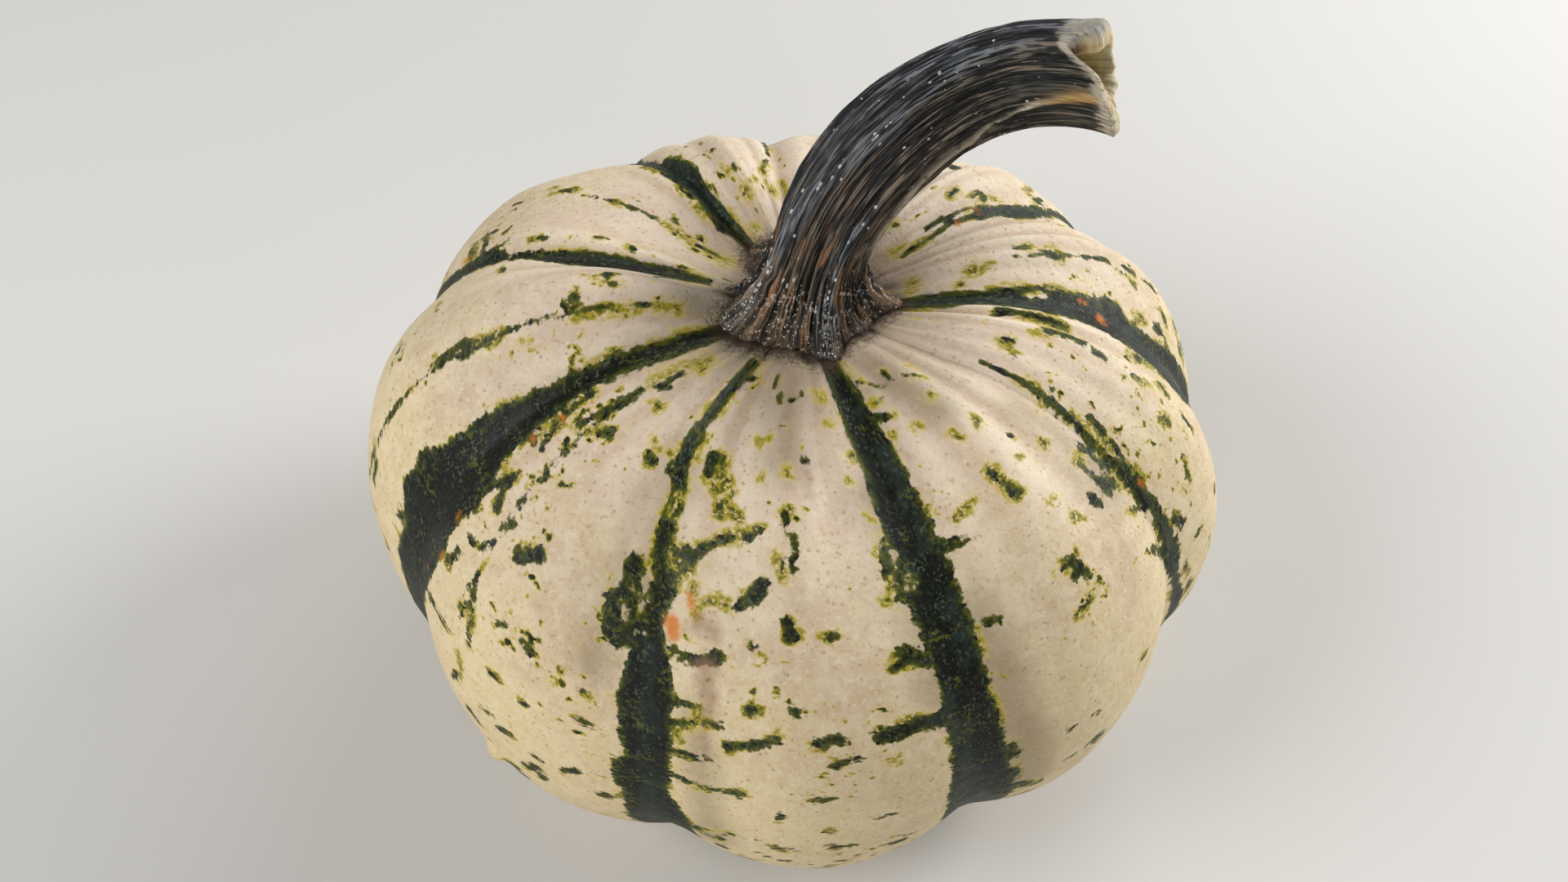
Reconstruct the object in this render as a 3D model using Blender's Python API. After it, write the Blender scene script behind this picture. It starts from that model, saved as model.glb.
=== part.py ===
"""Sweet dumpling squash: a ribbed fruit with ten lobes, and the curved woody stalk that stands in its crown.

The fruit lies on the flattened undersides of its lobes. +Z is up, and -Y is the side that faces a viewer.
The origin is on the resting plane, under the middle of the fruit.
"""

import math

import bmesh
import bpy
from mathutils import Vector
from mathutils.bvhtree import BVHTree

# Fruit sizes, in metres
FRUIT_RADIUS = 0.055
CROWN_RISE = 0.0414
BASE_DROP = 0.0376
BASIN_DEPTH = 0.0086
BASIN_RADIUS = 0.0212
BLOSSOM_DIMPLE = 0.008
BLOSSOM_RADIUS = 0.017
CROWN_OFFSET = Vector((0.0029, 0.0032))

# Below the first of these drops the fruit's weight flattens it, and at the last it rests
SETTLE_DROP = 0.029
SETTLE_GIVE = 0.0045
REST_DROP = 0.0324

# How square the fruit's section is: 1 is a plain ellipse, and less is fuller
SHOULDER_POWER = 0.837
CROWN_POWER = 0.854
BASE_POWER = 0.973

# Furrow depth as a share of the distance from the middle, at the girth and at the blossom end
GIRTH_FURROW = 0.046
BASE_FURROW = 0.119
FURROW_POWER = 0.72
FURROW_FADE = 0.35

# How far a furrow's bottom is rounded: soft near the stalk, and a crease at the blossom end
CROWN_SOFTNESS = 0.05
BASE_SOFTNESS = 0.02

# Two faint grooves divide each lobe near the crown
GROOVE_PLACES = (0.3, 0.7)
GROOVE_WIDTH = 0.09
GROOVE_DEPTH = 0.0005
GROOVE_START = 0.3
GROOVE_END = 0.25

# Each lobe from the front round to the right: the azimuth in degrees of the furrow where it starts, the
# degrees that this furrow swings towards the stalk, and the lobe's reach and crown against the fruit's
LOBES = (
    (-66, -8, 1.00, 1.00),
    (-27, 0, 1.04, 0.99),
    (-1, 0, 1.02, 1.01),
    (30, -2, 0.94, 1.00),
    (56, 1, 0.86, 1.00),
    (94, 2, 0.87, 1.01),
    (118, 1, 1.06, 0.89),
    (160, 3, 1.02, 1.16),
    (205, 7, 0.98, 0.99),
    (252, -18, 0.98, 1.00),
)
REACH, CROWN = 2, 3
LOBE_COUNT = len(LOBES)
EVEN_LOBE = math.tau / LOBE_COUNT
CROWN_BLEND = 0.45

# Stalk sizes, in metres, from the middle of the girth
STALK_PATH = (
    Vector((0.0029, 0.0034, 0.0328)),
    Vector((0.0021, 0.0027, 0.0536)),
    Vector((0.0209, 0.0211, 0.0564)),
    Vector((0.0342, 0.0117, 0.0604)),
)
STALK_RADIUS = 0.0060
STALK_SWELL = 0.0006
SWELL_SHARE = 0.45
SWELL_LENGTH = 0.2
STALK_TWIST = math.radians(-8)
FOOT_HEIGHT = 0.0095
FOOT_FLARE_POWER = 2.6

# The toes of the stalk's foot, one by each furrow: azimuth in degrees, length in metres, and how far the
# foot's edge draws in before the next toe
TOES = (
    (-79, 0.0102, 0.0008),
    (-42, 0.0086, 0.0012),
    (-10, 0.0114, 0.0030),
    (18, 0.0080, 0.0010),
    (55, 0.0082, 0.0012),
    (92, 0.0085, 0.0018),
    (127, 0.0118, 0.0042),
    (177, 0.0103, 0.0018),
    (210, 0.0122, 0.0004),
    (247, 0.0086, 0.0),
)

# The stalk's five main ridges run on into every second toe, with a weak ridge between them
FIRST_RIDGE = math.radians(-74)
MAIN_GROOVE = 0.0019
RIDGE_SHARPNESS = 1.3
WEAK_RIDGE = 0.0007
WEAK_RIDGE_WIDTH = 0.3

# The cut end: slanted, so that it's longest at one place, with a hollow inside a thick rim that is torn
# back on one side
CUT_SLANT = 0.46
CUT_TIP = 0.4
HOLLOW_SHARE = 0.75
HOLLOW_DEPTH = 0.0030
TEAR_PLACE = 8.6
TEAR_WIDTH = 0.9
TEAR_DEPTH = 0.0040
CUT_LENGTH = 0.15

# Room left between the stalk's foot and the fruit
SEAT_GAP = 0.0005

# Mesh divisions
FRUIT_COLUMNS = 10
FRUIT_RINGS = 46
POLE_CROWDING = 0.35
STALK_COLUMNS = 4
FOOT_ROWS = 3
SHAFT_ROWS = 26
END_ROWS = 5

# Finishes: colour, roughness
CREAM_RIND = ((0.72, 0.62, 0.44, 1.0), 0.42)
DARK_WOOD = ((0.07, 0.06, 0.05, 1.0), 0.75)


def smooth(value):
    """Eases a value from 0 to 1, and holds it there outside that range."""
    value = min(max(value, 0.0), 1.0)
    return value * value * (3 - 2 * value)


def lobe_angle(place, inward):
    """Azimuth of a place counted in lobes, and its lobe's width, at a share inward from the girth."""
    lobe = math.floor(place)
    start, swing = (math.radians(value) for value in LOBES[lobe % LOBE_COUNT][:2])
    end, next_swing = (math.radians(value) for value in LOBES[(lobe + 1) % LOBE_COUNT][:2])
    start += swing * inward
    end += next_swing * inward
    if end < start:
        end += math.tau
    return start + (end - start) * (place - lobe), end - start


def lobe_share(column, place):
    """A lobe's own ratio at its crest, and the mean of two neighbours' in the furrow between them."""
    lobe = math.floor(place)
    across = place - lobe
    beside = lobe + (1 if across > 0.5 else -1)
    own = LOBES[lobe % LOBE_COUNT][column]
    furrow = (own + LOBES[beside % LOBE_COUNT][column]) / 2
    return furrow + (own - furrow) * math.sin(math.pi * across) ** 2


def lobe_crest(place, softness):
    """Section of a lobe: 0 in the furrows beside it and 1 on its crest."""
    half_power = FURROW_POWER / 2
    bottom = softness**half_power
    rise = (math.sin(math.pi * place) ** 2 + softness) ** half_power
    return (rise - bottom) / ((1 + softness) ** half_power - bottom)


def groove_drop(place, reach):
    """Depth of the faint grooves on a lobe, which run out a little past the crown."""
    across = place % 1
    drop = sum(math.exp(-(((across - middle) / GROOVE_WIDTH) ** 2)) for middle in GROOVE_PLACES)
    return GROOVE_DEPTH * drop * smooth(reach / GROOVE_START) * smooth((1 - reach) / GROOVE_END)


def settled_drop(drop):
    """A depth below the girth, once the fruit's weight has flattened its underside."""
    over = max(drop - SETTLE_DROP, 0.0)
    return min(drop, SETTLE_DROP) + SETTLE_GIVE * math.tanh(over / SETTLE_GIVE)


def rind_point(place, rise):
    """Point of the rind at a place counted in lobes and a rise in radians, from the middle of the girth."""
    up = math.sin(rise)
    reach = max(math.cos(rise), 0.0) ** SHOULDER_POWER
    inward = (1 - reach) if up > 0 else (reach - 1)
    azimuth, width = lobe_angle(place, inward)
    low = max(-up, 0.0)
    depth = (GIRTH_FURROW * (1 - low) + BASE_FURROW * low) * math.sqrt(width / EVEN_LOBE)
    crest = lobe_crest(place, CROWN_SOFTNESS + (BASE_SOFTNESS - CROWN_SOFTNESS) * (1 - up) / 2)
    keep = 1 - depth * (1 - crest) * min(reach / FURROW_FADE, 1.0)
    radius = FRUIT_RADIUS * lobe_share(REACH, place) * reach * keep
    if up > 0:
        crown = 1 + (lobe_share(CROWN, place) - 1) * smooth(reach / CROWN_BLEND)
        basin = BASIN_DEPTH * math.exp(-((reach * FRUIT_RADIUS / BASIN_RADIUS) ** 2))
        height = CROWN_RISE * crown * up**CROWN_POWER * keep - basin - groove_drop(place, reach)
        offset = CROWN_OFFSET * (1 - reach)
    else:
        dimple = BLOSSOM_DIMPLE * math.exp(-((reach * FRUIT_RADIUS / BLOSSOM_RADIUS) ** 2))
        height = -settled_drop(BASE_DROP * low**BASE_POWER * keep - dimple)
        offset = Vector((0.0, 0.0))
    return Vector((radius * math.cos(azimuth) + offset.x, radius * math.sin(azimuth) + offset.y, height))


def make_ball(columns, rings):
    """A unit ball, whose rows and columns a formula then puts in place."""
    mesh = bmesh.new()
    bmesh.ops.create_uvsphere(mesh, u_segments=columns, v_segments=rings, radius=1)
    return mesh


def ball_place(vertex):
    """Where a point of the ball is: its share of a turn, and its share of the way down."""
    turn = math.atan2(vertex.co.y, vertex.co.x) / math.tau % 1.0
    down = math.acos(min(max(vertex.co.z, -1.0), 1.0)) / math.pi
    return turn, down


def make_object(name, mesh, collection, finish):
    """Puts a finished bmesh in the scene as a smooth object with its own material."""
    data = bpy.data.meshes.new(name)
    bmesh.ops.recalc_face_normals(mesh, faces=mesh.faces)
    mesh.to_mesh(data)
    mesh.free()
    data.shade_smooth()
    material = bpy.data.materials.new(name)
    material.use_nodes = True
    shader = material.node_tree.nodes["Principled BSDF"]
    shader.inputs["Base Color"].default_value, shader.inputs["Roughness"].default_value = finish
    data.materials.append(material)
    collection.objects.link(bpy.data.objects.new(name, data))


def make_fruit(collection):
    """The fruit, flattened where its lobes touch the resting plane. Gives its middle and its surface."""
    mesh = make_ball(LOBE_COUNT * FRUIT_COLUMNS, FRUIT_RINGS)
    for vertex in mesh.verts:
        turn, down = ball_place(vertex)
        crowded = down - POLE_CROWDING * math.sin(math.tau * down) / math.tau
        vertex.co = rind_point(turn * LOBE_COUNT, math.pi * (0.5 - crowded))
    low = [min(vertex.co[axis] for vertex in mesh.verts) for axis in (0, 1)]
    high = [max(vertex.co[axis] for vertex in mesh.verts) for axis in (0, 1)]
    middle = Vector(((low[0] + high[0]) / 2, (low[1] + high[1]) / 2, -REST_DROP))
    for vertex in mesh.verts:
        vertex.co -= middle
        vertex.co.z = max(vertex.co.z, 0.0)
    surface = BVHTree.FromBMesh(mesh)
    make_object("fruit", mesh, collection, CREAM_RIND)
    return middle, surface


def path_point(share):
    """Point of the stalk's middle line, from its foot at 0 to its cut end at 1."""
    back = 1 - share
    weights = (back**3, 3 * share * back**2, 3 * share**2 * back, share**3)
    return sum((point * weight for point, weight in zip(STALK_PATH, weights)), Vector())


def stalk_frames(count):
    """Evenly spaced stations along the stalk: middle, and the two directions across it."""
    points = [path_point(step / count) for step in range(count + 1)]
    ahead = Vector((0, 0, 1))
    side, front = Vector((1, 0, 0)), Vector((0, 1, 0))
    frames = []
    for step, point in enumerate(points):
        before, after = points[max(step - 1, 0)], points[min(step + 1, count)]
        tangent = Vector((0, 0, 1)) if step == 0 else (after - before).normalized()
        turn = ahead.rotation_difference(tangent)
        side, front, ahead = turn @ side, turn @ front, tangent
        frames.append((point, side, front, tangent))
    return frames


def shaft_radius(place, share):
    """Radius of the stalk above its foot, at a place round it and a share along it."""
    swell = STALK_SWELL * math.exp(-(((share - SWELL_SHARE) / SWELL_LENGTH) ** 2))
    groove = MAIN_GROOVE * (1 - abs(math.cos(math.pi * place / 2)) ** RIDGE_SHARPNESS)
    from_weak = abs(place % 2 - 1)
    weak = WEAK_RIDGE * math.exp(-((from_weak / WEAK_RIDGE_WIDTH) ** 2))
    return STALK_RADIUS + swell - groove + weak


def foot_edge(place):
    """Azimuth and reach of the edge of the stalk's foot, at a place counted in toes."""
    toe = math.floor(place)
    across = place - toe
    azimuth, length, draw_in = TOES[toe % LOBE_COUNT]
    next_azimuth, next_length, _ = TOES[(toe + 1) % LOBE_COUNT]
    turn = math.radians(azimuth) + math.radians((next_azimuth - azimuth) % 360) * across
    reach = length + (next_length - length) * smooth(across) - draw_in * math.sin(math.pi * across) ** 2
    return turn, reach


def stalk_angle(place, share, settled):
    """Angle round the stalk: its ridges start at the toes, and are evenly spaced above the foot."""
    even = FIRST_RIDGE + place * EVEN_LOBE
    toe = foot_edge(place)[0]
    toe += math.tau * round((even - toe) / math.tau)
    return toe + (even - toe) * settled + STALK_TWIST * share


def make_stalk(collection, middle, fruit_surface):
    """The stalk: a toed foot that follows the crown, a ridged shaft, and a torn cut end with a hollow."""
    frames = stalk_frames(SHAFT_ROWS)
    length = sum((frames[row + 1][0] - frames[row][0]).length for row in range(SHAFT_ROWS))
    rows = FOOT_ROWS + SHAFT_ROWS + END_ROWS
    foot_floor = STALK_PATH[0].z - middle.z
    mesh = make_ball(LOBE_COUNT * STALK_COLUMNS, rows)
    for vertex in mesh.verts:
        turn, down = ball_place(vertex)
        place = turn * LOBE_COUNT
        row = round((1 - down) * rows)
        share = min(max((row - FOOT_ROWS) / SHAFT_ROWS, 0.0), 1.0)
        point, side, front, ahead = frames[round(share * SHAFT_ROWS)]
        in_foot = max(1 - share * length / FOOT_HEIGHT, 0.0)
        angle = stalk_angle(place, share, smooth(1 - in_foot))
        shaft = shaft_radius(place, share)
        radius = shaft + (foot_edge(place)[1] - shaft) * in_foot**FOOT_FLARE_POWER
        if row < FOOT_ROWS:
            radius *= row / FOOT_ROWS
        inside_rim = max(row - FOOT_ROWS - SHAFT_ROWS, 0) / END_ROWS
        radius += ((STALK_RADIUS - MAIN_GROOVE) * (1 - inside_rim) - radius) * smooth(inside_rim * END_ROWS)
        vertex.co = point + (side * math.cos(angle) + front * math.sin(angle)) * radius - middle
        above = Vector((vertex.co.x, vertex.co.y, 2 * FRUIT_RADIUS))
        seat = fruit_surface.ray_cast(above, Vector((0, 0, -1)))[0].z + SEAT_GAP
        vertex.co.z += (seat - foot_floor) * in_foot**2
        near_cut = smooth(1 - (1 - share) / CUT_LENGTH)
        slant = CUT_SLANT * (STALK_RADIUS + radius * math.cos((place - CUT_TIP) * EVEN_LOBE))
        tear = TEAR_DEPTH * smooth(1 - abs(place - TEAR_PLACE) / TEAR_WIDTH) * (1 - inside_rim)
        hollow = HOLLOW_DEPTH * smooth((inside_rim - 1 + HOLLOW_SHARE) / (1 - HOLLOW_SHARE) / 2)
        vertex.co += ahead * ((slant - tear) * near_cut - hollow)
    make_object("stalk", mesh, collection, DARK_WOOD)


def main():
    for leftover in list(bpy.data.objects):
        bpy.data.objects.remove(leftover)
    collection = bpy.data.collections.new("sweet_dumpling_squash")
    bpy.context.scene.collection.children.link(collection)
    middle, fruit_surface = make_fruit(collection)
    make_stalk(collection, middle, fruit_surface)


main()
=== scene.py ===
"""Sweet dumpling squash: a cream rind striped dark green in its ten furrows, and a dark fibrous stalk."""

import math

import bmesh
import bpy
import numpy as np
from mathutils import Matrix, Vector, noise
from mathutils.bvhtree import BVHTree


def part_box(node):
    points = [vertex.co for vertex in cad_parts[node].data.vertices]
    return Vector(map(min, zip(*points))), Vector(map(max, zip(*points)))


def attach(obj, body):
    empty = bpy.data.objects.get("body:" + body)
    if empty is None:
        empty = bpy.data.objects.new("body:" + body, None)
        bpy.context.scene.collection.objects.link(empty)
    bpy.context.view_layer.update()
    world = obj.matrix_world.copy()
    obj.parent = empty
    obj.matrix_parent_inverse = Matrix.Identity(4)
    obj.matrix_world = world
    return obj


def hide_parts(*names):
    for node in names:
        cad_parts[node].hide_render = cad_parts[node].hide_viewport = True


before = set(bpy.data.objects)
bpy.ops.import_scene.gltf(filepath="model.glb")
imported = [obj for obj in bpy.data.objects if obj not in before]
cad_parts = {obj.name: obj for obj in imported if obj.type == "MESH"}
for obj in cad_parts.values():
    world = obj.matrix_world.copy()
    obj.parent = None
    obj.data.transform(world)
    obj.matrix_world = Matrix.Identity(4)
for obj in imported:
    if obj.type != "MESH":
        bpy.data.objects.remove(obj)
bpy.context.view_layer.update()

MM = 0.001
SHORTEST = 1e-12

# Fruit sizes, in metres
FRUIT_RADIUS = 0.055
CROWN_RISE = 0.0414
BASE_DROP = 0.0376
BASIN_DEPTH = 0.0086
BASIN_RADIUS = 0.0212
BLOSSOM_DIMPLE = 0.008
BLOSSOM_RADIUS = 0.017
CROWN_OFFSET = np.array((0.0029, 0.0032))

# Below the first of these drops the fruit's weight flattens it, and at the last it rests
SETTLE_DROP = 0.029
SETTLE_GIVE = 0.0045
REST_DROP = 0.0324

# How square the fruit's section is: 1 is a plain ellipse, and less is fuller
SHOULDER_POWER = 0.837
CROWN_POWER = 0.854
BASE_POWER = 0.973

# Furrow depth as a share of the distance from the middle, at the girth and at the blossom end
GIRTH_FURROW = 0.046
BASE_FURROW = 0.119
FURROW_POWER = 0.72
FURROW_FADE = 0.35
CROWN_SOFTNESS = 0.05
BASE_SOFTNESS = 0.02

# Two faint grooves divide each lobe near the crown
GROOVE_PLACES = (0.3, 0.7)
GROOVE_WIDTH = 0.09
GROOVE_DEPTH = 0.0005
GROOVE_START = 0.3
GROOVE_END = 0.25

# Each lobe from the front round to the right: the azimuth in degrees of the furrow where it starts, the
# degrees that this furrow swings towards the stalk, and the lobe's reach and crown against the fruit's
LOBES = np.array((
    (-66, -8, 1.00, 1.00),
    (-27, 0, 1.04, 0.99),
    (-1, 0, 1.02, 1.01),
    (30, -2, 0.94, 1.00),
    (56, 1, 0.86, 1.00),
    (94, 2, 0.87, 1.01),
    (118, 1, 1.06, 0.89),
    (160, 3, 1.02, 1.16),
    (205, 7, 0.98, 0.99),
    (252, -18, 0.98, 1.00),
))
AZIMUTH, SWING, REACH, CROWN = LOBES.T
LOBE_COUNT = len(LOBES)
EVEN_LOBE = math.tau / LOBE_COUNT
CROWN_BLEND = 0.45

# Stalk sizes, in metres, from the middle of the girth
STALK_PATH = np.array((
    (0.0029, 0.0034, 0.0328),
    (0.0021, 0.0027, 0.0536),
    (0.0209, 0.0211, 0.0564),
    (0.0342, 0.0117, 0.0604),
))
STALK_RADIUS = 0.0060
STALK_SWELL = 0.0006
SWELL_SHARE = 0.45
SWELL_LENGTH = 0.2
STALK_TWIST = math.radians(-8)
FOOT_HEIGHT = 0.0095
FOOT_FLARE_POWER = 2.6

# The toes of the stalk's foot, one by each furrow: azimuth in degrees, length in metres, and how far the
# foot's edge draws in before the next toe
TOES = np.array((
    (-79, 0.0102, 0.0008),
    (-42, 0.0086, 0.0012),
    (-10, 0.0114, 0.0030),
    (18, 0.0080, 0.0010),
    (55, 0.0082, 0.0012),
    (92, 0.0085, 0.0018),
    (127, 0.0118, 0.0042),
    (177, 0.0103, 0.0018),
    (210, 0.0122, 0.0004),
    (247, 0.0086, 0.0),
))

# The stalk's five main ridges run on into every second toe, with a weak ridge between them
FIRST_RIDGE = math.radians(-74)
MAIN_GROOVE = 0.0019
RIDGE_SHARPNESS = 1.3
WEAK_RIDGE = 0.0007
WEAK_RIDGE_WIDTH = 0.3

# The cut end: slanted, so that it's longest at one place, with a hollow inside a thick rim. The rim is
# torn: places round it, and how far it's torn back at each, in metres
CUT_SLANT = 0.46
CUT_TIP = 0.4
CUT_LENGTH = 0.15
HOLLOW_DEPTH = 0.0046
HOLLOW_RADIUS = 0.0035
HOLLOW_STEEPNESS = 2.2
RIM_SHARE = 0.34
TORN_PLACES = (7.3, 7.75, 8.15, 8.4, 8.7, 9.1, 9.6, 10.0)
TORN_DEPTHS = (0.0, 0.0005, 0.0034, 0.0042, 0.0026, 0.0012, 0.0004, 0.0)

# Room left between the stalk's foot and the fruit
SEAT_GAP = 0.0001

# Mesh divisions: columns to a lobe, and rows; and the least width that a lobe counts as, in millimetres
FRUIT_COLUMNS = 48
FRUIT_RINGS = 200
POLE_CROWDING = 0.35
STALK_COLUMNS = 36
SEAM_MERGE = 1e-6
NARROWEST_LOBE = 0.5
FOOT_ROWS = 14
SHAFT_ROWS = 200
END_ROWS = 30
FOOT_EDGE_STEPS = 721

# Camera: its rise over the horizon, roll and distance from the middle of the girth, and its lens
VIEW_RISE = math.radians(55.9)
VIEW_ROLL = math.radians(-1.745)
VIEW_DISTANCE = 0.2042
LENS = 33.75
SENSOR = 36
SHIFT = (-0.0032, 0.0232)
NEAREST_SEEN = 0.01

# Places count the lobes from the front round to the right: whole numbers are the furrows where they start.
# Down is in millimetres along the rind from the stalk's middle. The stripes and marks were read one by one

# Stripes in the furrows: millimetres down, and the left and right edge there in hundredths of a lobe from
# the furrow. Every stripe's last row is near the blossom end
STRIPES = {
    0: (
        (8, -13, 12), (15, -11, 14), (20, -11, 12.5), (26, -10.5, 12.5), (32, -10.5, 11), (38, -11, 11),
        (46, -10, 10), (50, -9, 9.5), (56, -9, 8.5), (62, -8.5, 10), (70, -10, 12), (78, -11, 15),
        (90, -10, 13), (112, -11, 10),
    ),
    9: (
        (11, -20, 2), (14, -18, 0), (17, -16, -1), (20, -14.5, -3), (23, -15, -5), (26, -17, -5),
        (29, -16, -4), (31, -12, -2), (34, -10, -1), (38, -9.5, -2), (40, -8, 0), (42, -7, 4),
        (44, -7, 3), (46, -7, 0), (48, -7, 2), (50, -10, 4), (55, -12, 6), (57, -13.5, 5), (61, -12, 5),
        (65, -10, 3), (67, -14.5, 3), (70, -14, 2), (72, -12, 5), (75, -12, 8), (82, -13, 10),
        (92, -11, 8), (112, -10, 9),
    ),
    8: (
        (11, -14, 6), (15, -12, 15), (19, -10, 15), (23, -10, 12), (26, -9, 10), (30, -9, 7),
        (34, -10, 7), (38, -11, 7), (42, -13, 8), (45, -14, 10), (47, -14, 14), (50, -15, 13),
        (52, -17, 11), (54, -20, 10), (57, -18, 12), (59, -20, 10), (61, -16, 10), (63, -13, 9),
        (66, -13, 8), (70, -14, 5), (75, -12, 4), (90, -10, 8), (112, -9, 8),
    ),
    7: (
        (12, -7, 5), (15, -6, 11), (18, -6, 14), (22, -5, 17), (26, -5, 15), (30, -3, 13), (34, -2, 7),
        (37, -3, 3), (40, -3, 2), (43, -8, 2), (48, -6, 2), (54, -6, 1), (66, -8, 5), (85, -10, 9),
        (112, -8, 7),
    ),
    6: (
        (11, -4, 13), (15, -4, 14.5), (17, -4.5, 17), (19, -5.5, 12.5), (23, -6.5, 10), (25, -8, 10),
        (27, -13, 11), (31, -11, 10), (34, -7, 9), (35.5, 0, 10), (38, 0, 12.5), (42, 0, 8),
        (46, -3, 5), (58, -9, 8), (75, -8, 11), (95, -10, 8), (112, -9, 8),
    ),
    5: (
        (26, 2, 6), (34, -3, 7), (48, -7, 6), (66, -10, 8), (112, -8, 8),
    ),
    4: (
        (12, -6, 6), (24, -8, 7), (40, -9, 10), (60, -10, 9), (112, -9, 8),
    ),
    3: (
        (13, -9, -1), (15, -5, 6), (17, 0, 7.5), (20, 3, 8), (21, 4, 16), (24, 3, 18), (25, -4, 12),
        (26, -3, 15), (28, -2, 11), (30, -10, 8), (33, -9, 7), (35, -5, 7), (38, -1, 7), (42, 1, 10),
        (50, -5, 8), (70, -9, 10), (112, -8, 8),
    ),
    2: (
        (10, -22, 6), (14, -26, 8), (17, -24, 10), (19, -19, 10), (21, -16, 9), (25, -15.5, 11),
        (28, -15, 14), (33, -14, 13), (37, -15, 16), (40, -18, 16), (41, -18, 10), (44, -20, 9),
        (47, -23, 9), (51, -26, 12), (56, -18, 13), (62, -12, 13), (80, -10, 12), (112, -8, 9),
    ),
    1: (
        (23, 3, 6), (27, 2, 9), (30, 0, 7), (34, -2, 6), (36, -2, 3), (38, -3, 1), (40, -3, 0),
        (42, -4, 1), (44, -3, 4), (48, -3, 5), (52, -1, 7), (55, -2, 7), (58, -4, 9), (61, -3, 9),
        (64, -1, 6), (68, 0, 9), (72, 0, 14), (80, -2, 13), (90, -7, 10), (112, -8, 8),
    ),
}
STRIPE_END = (136, -5, 5)

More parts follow.
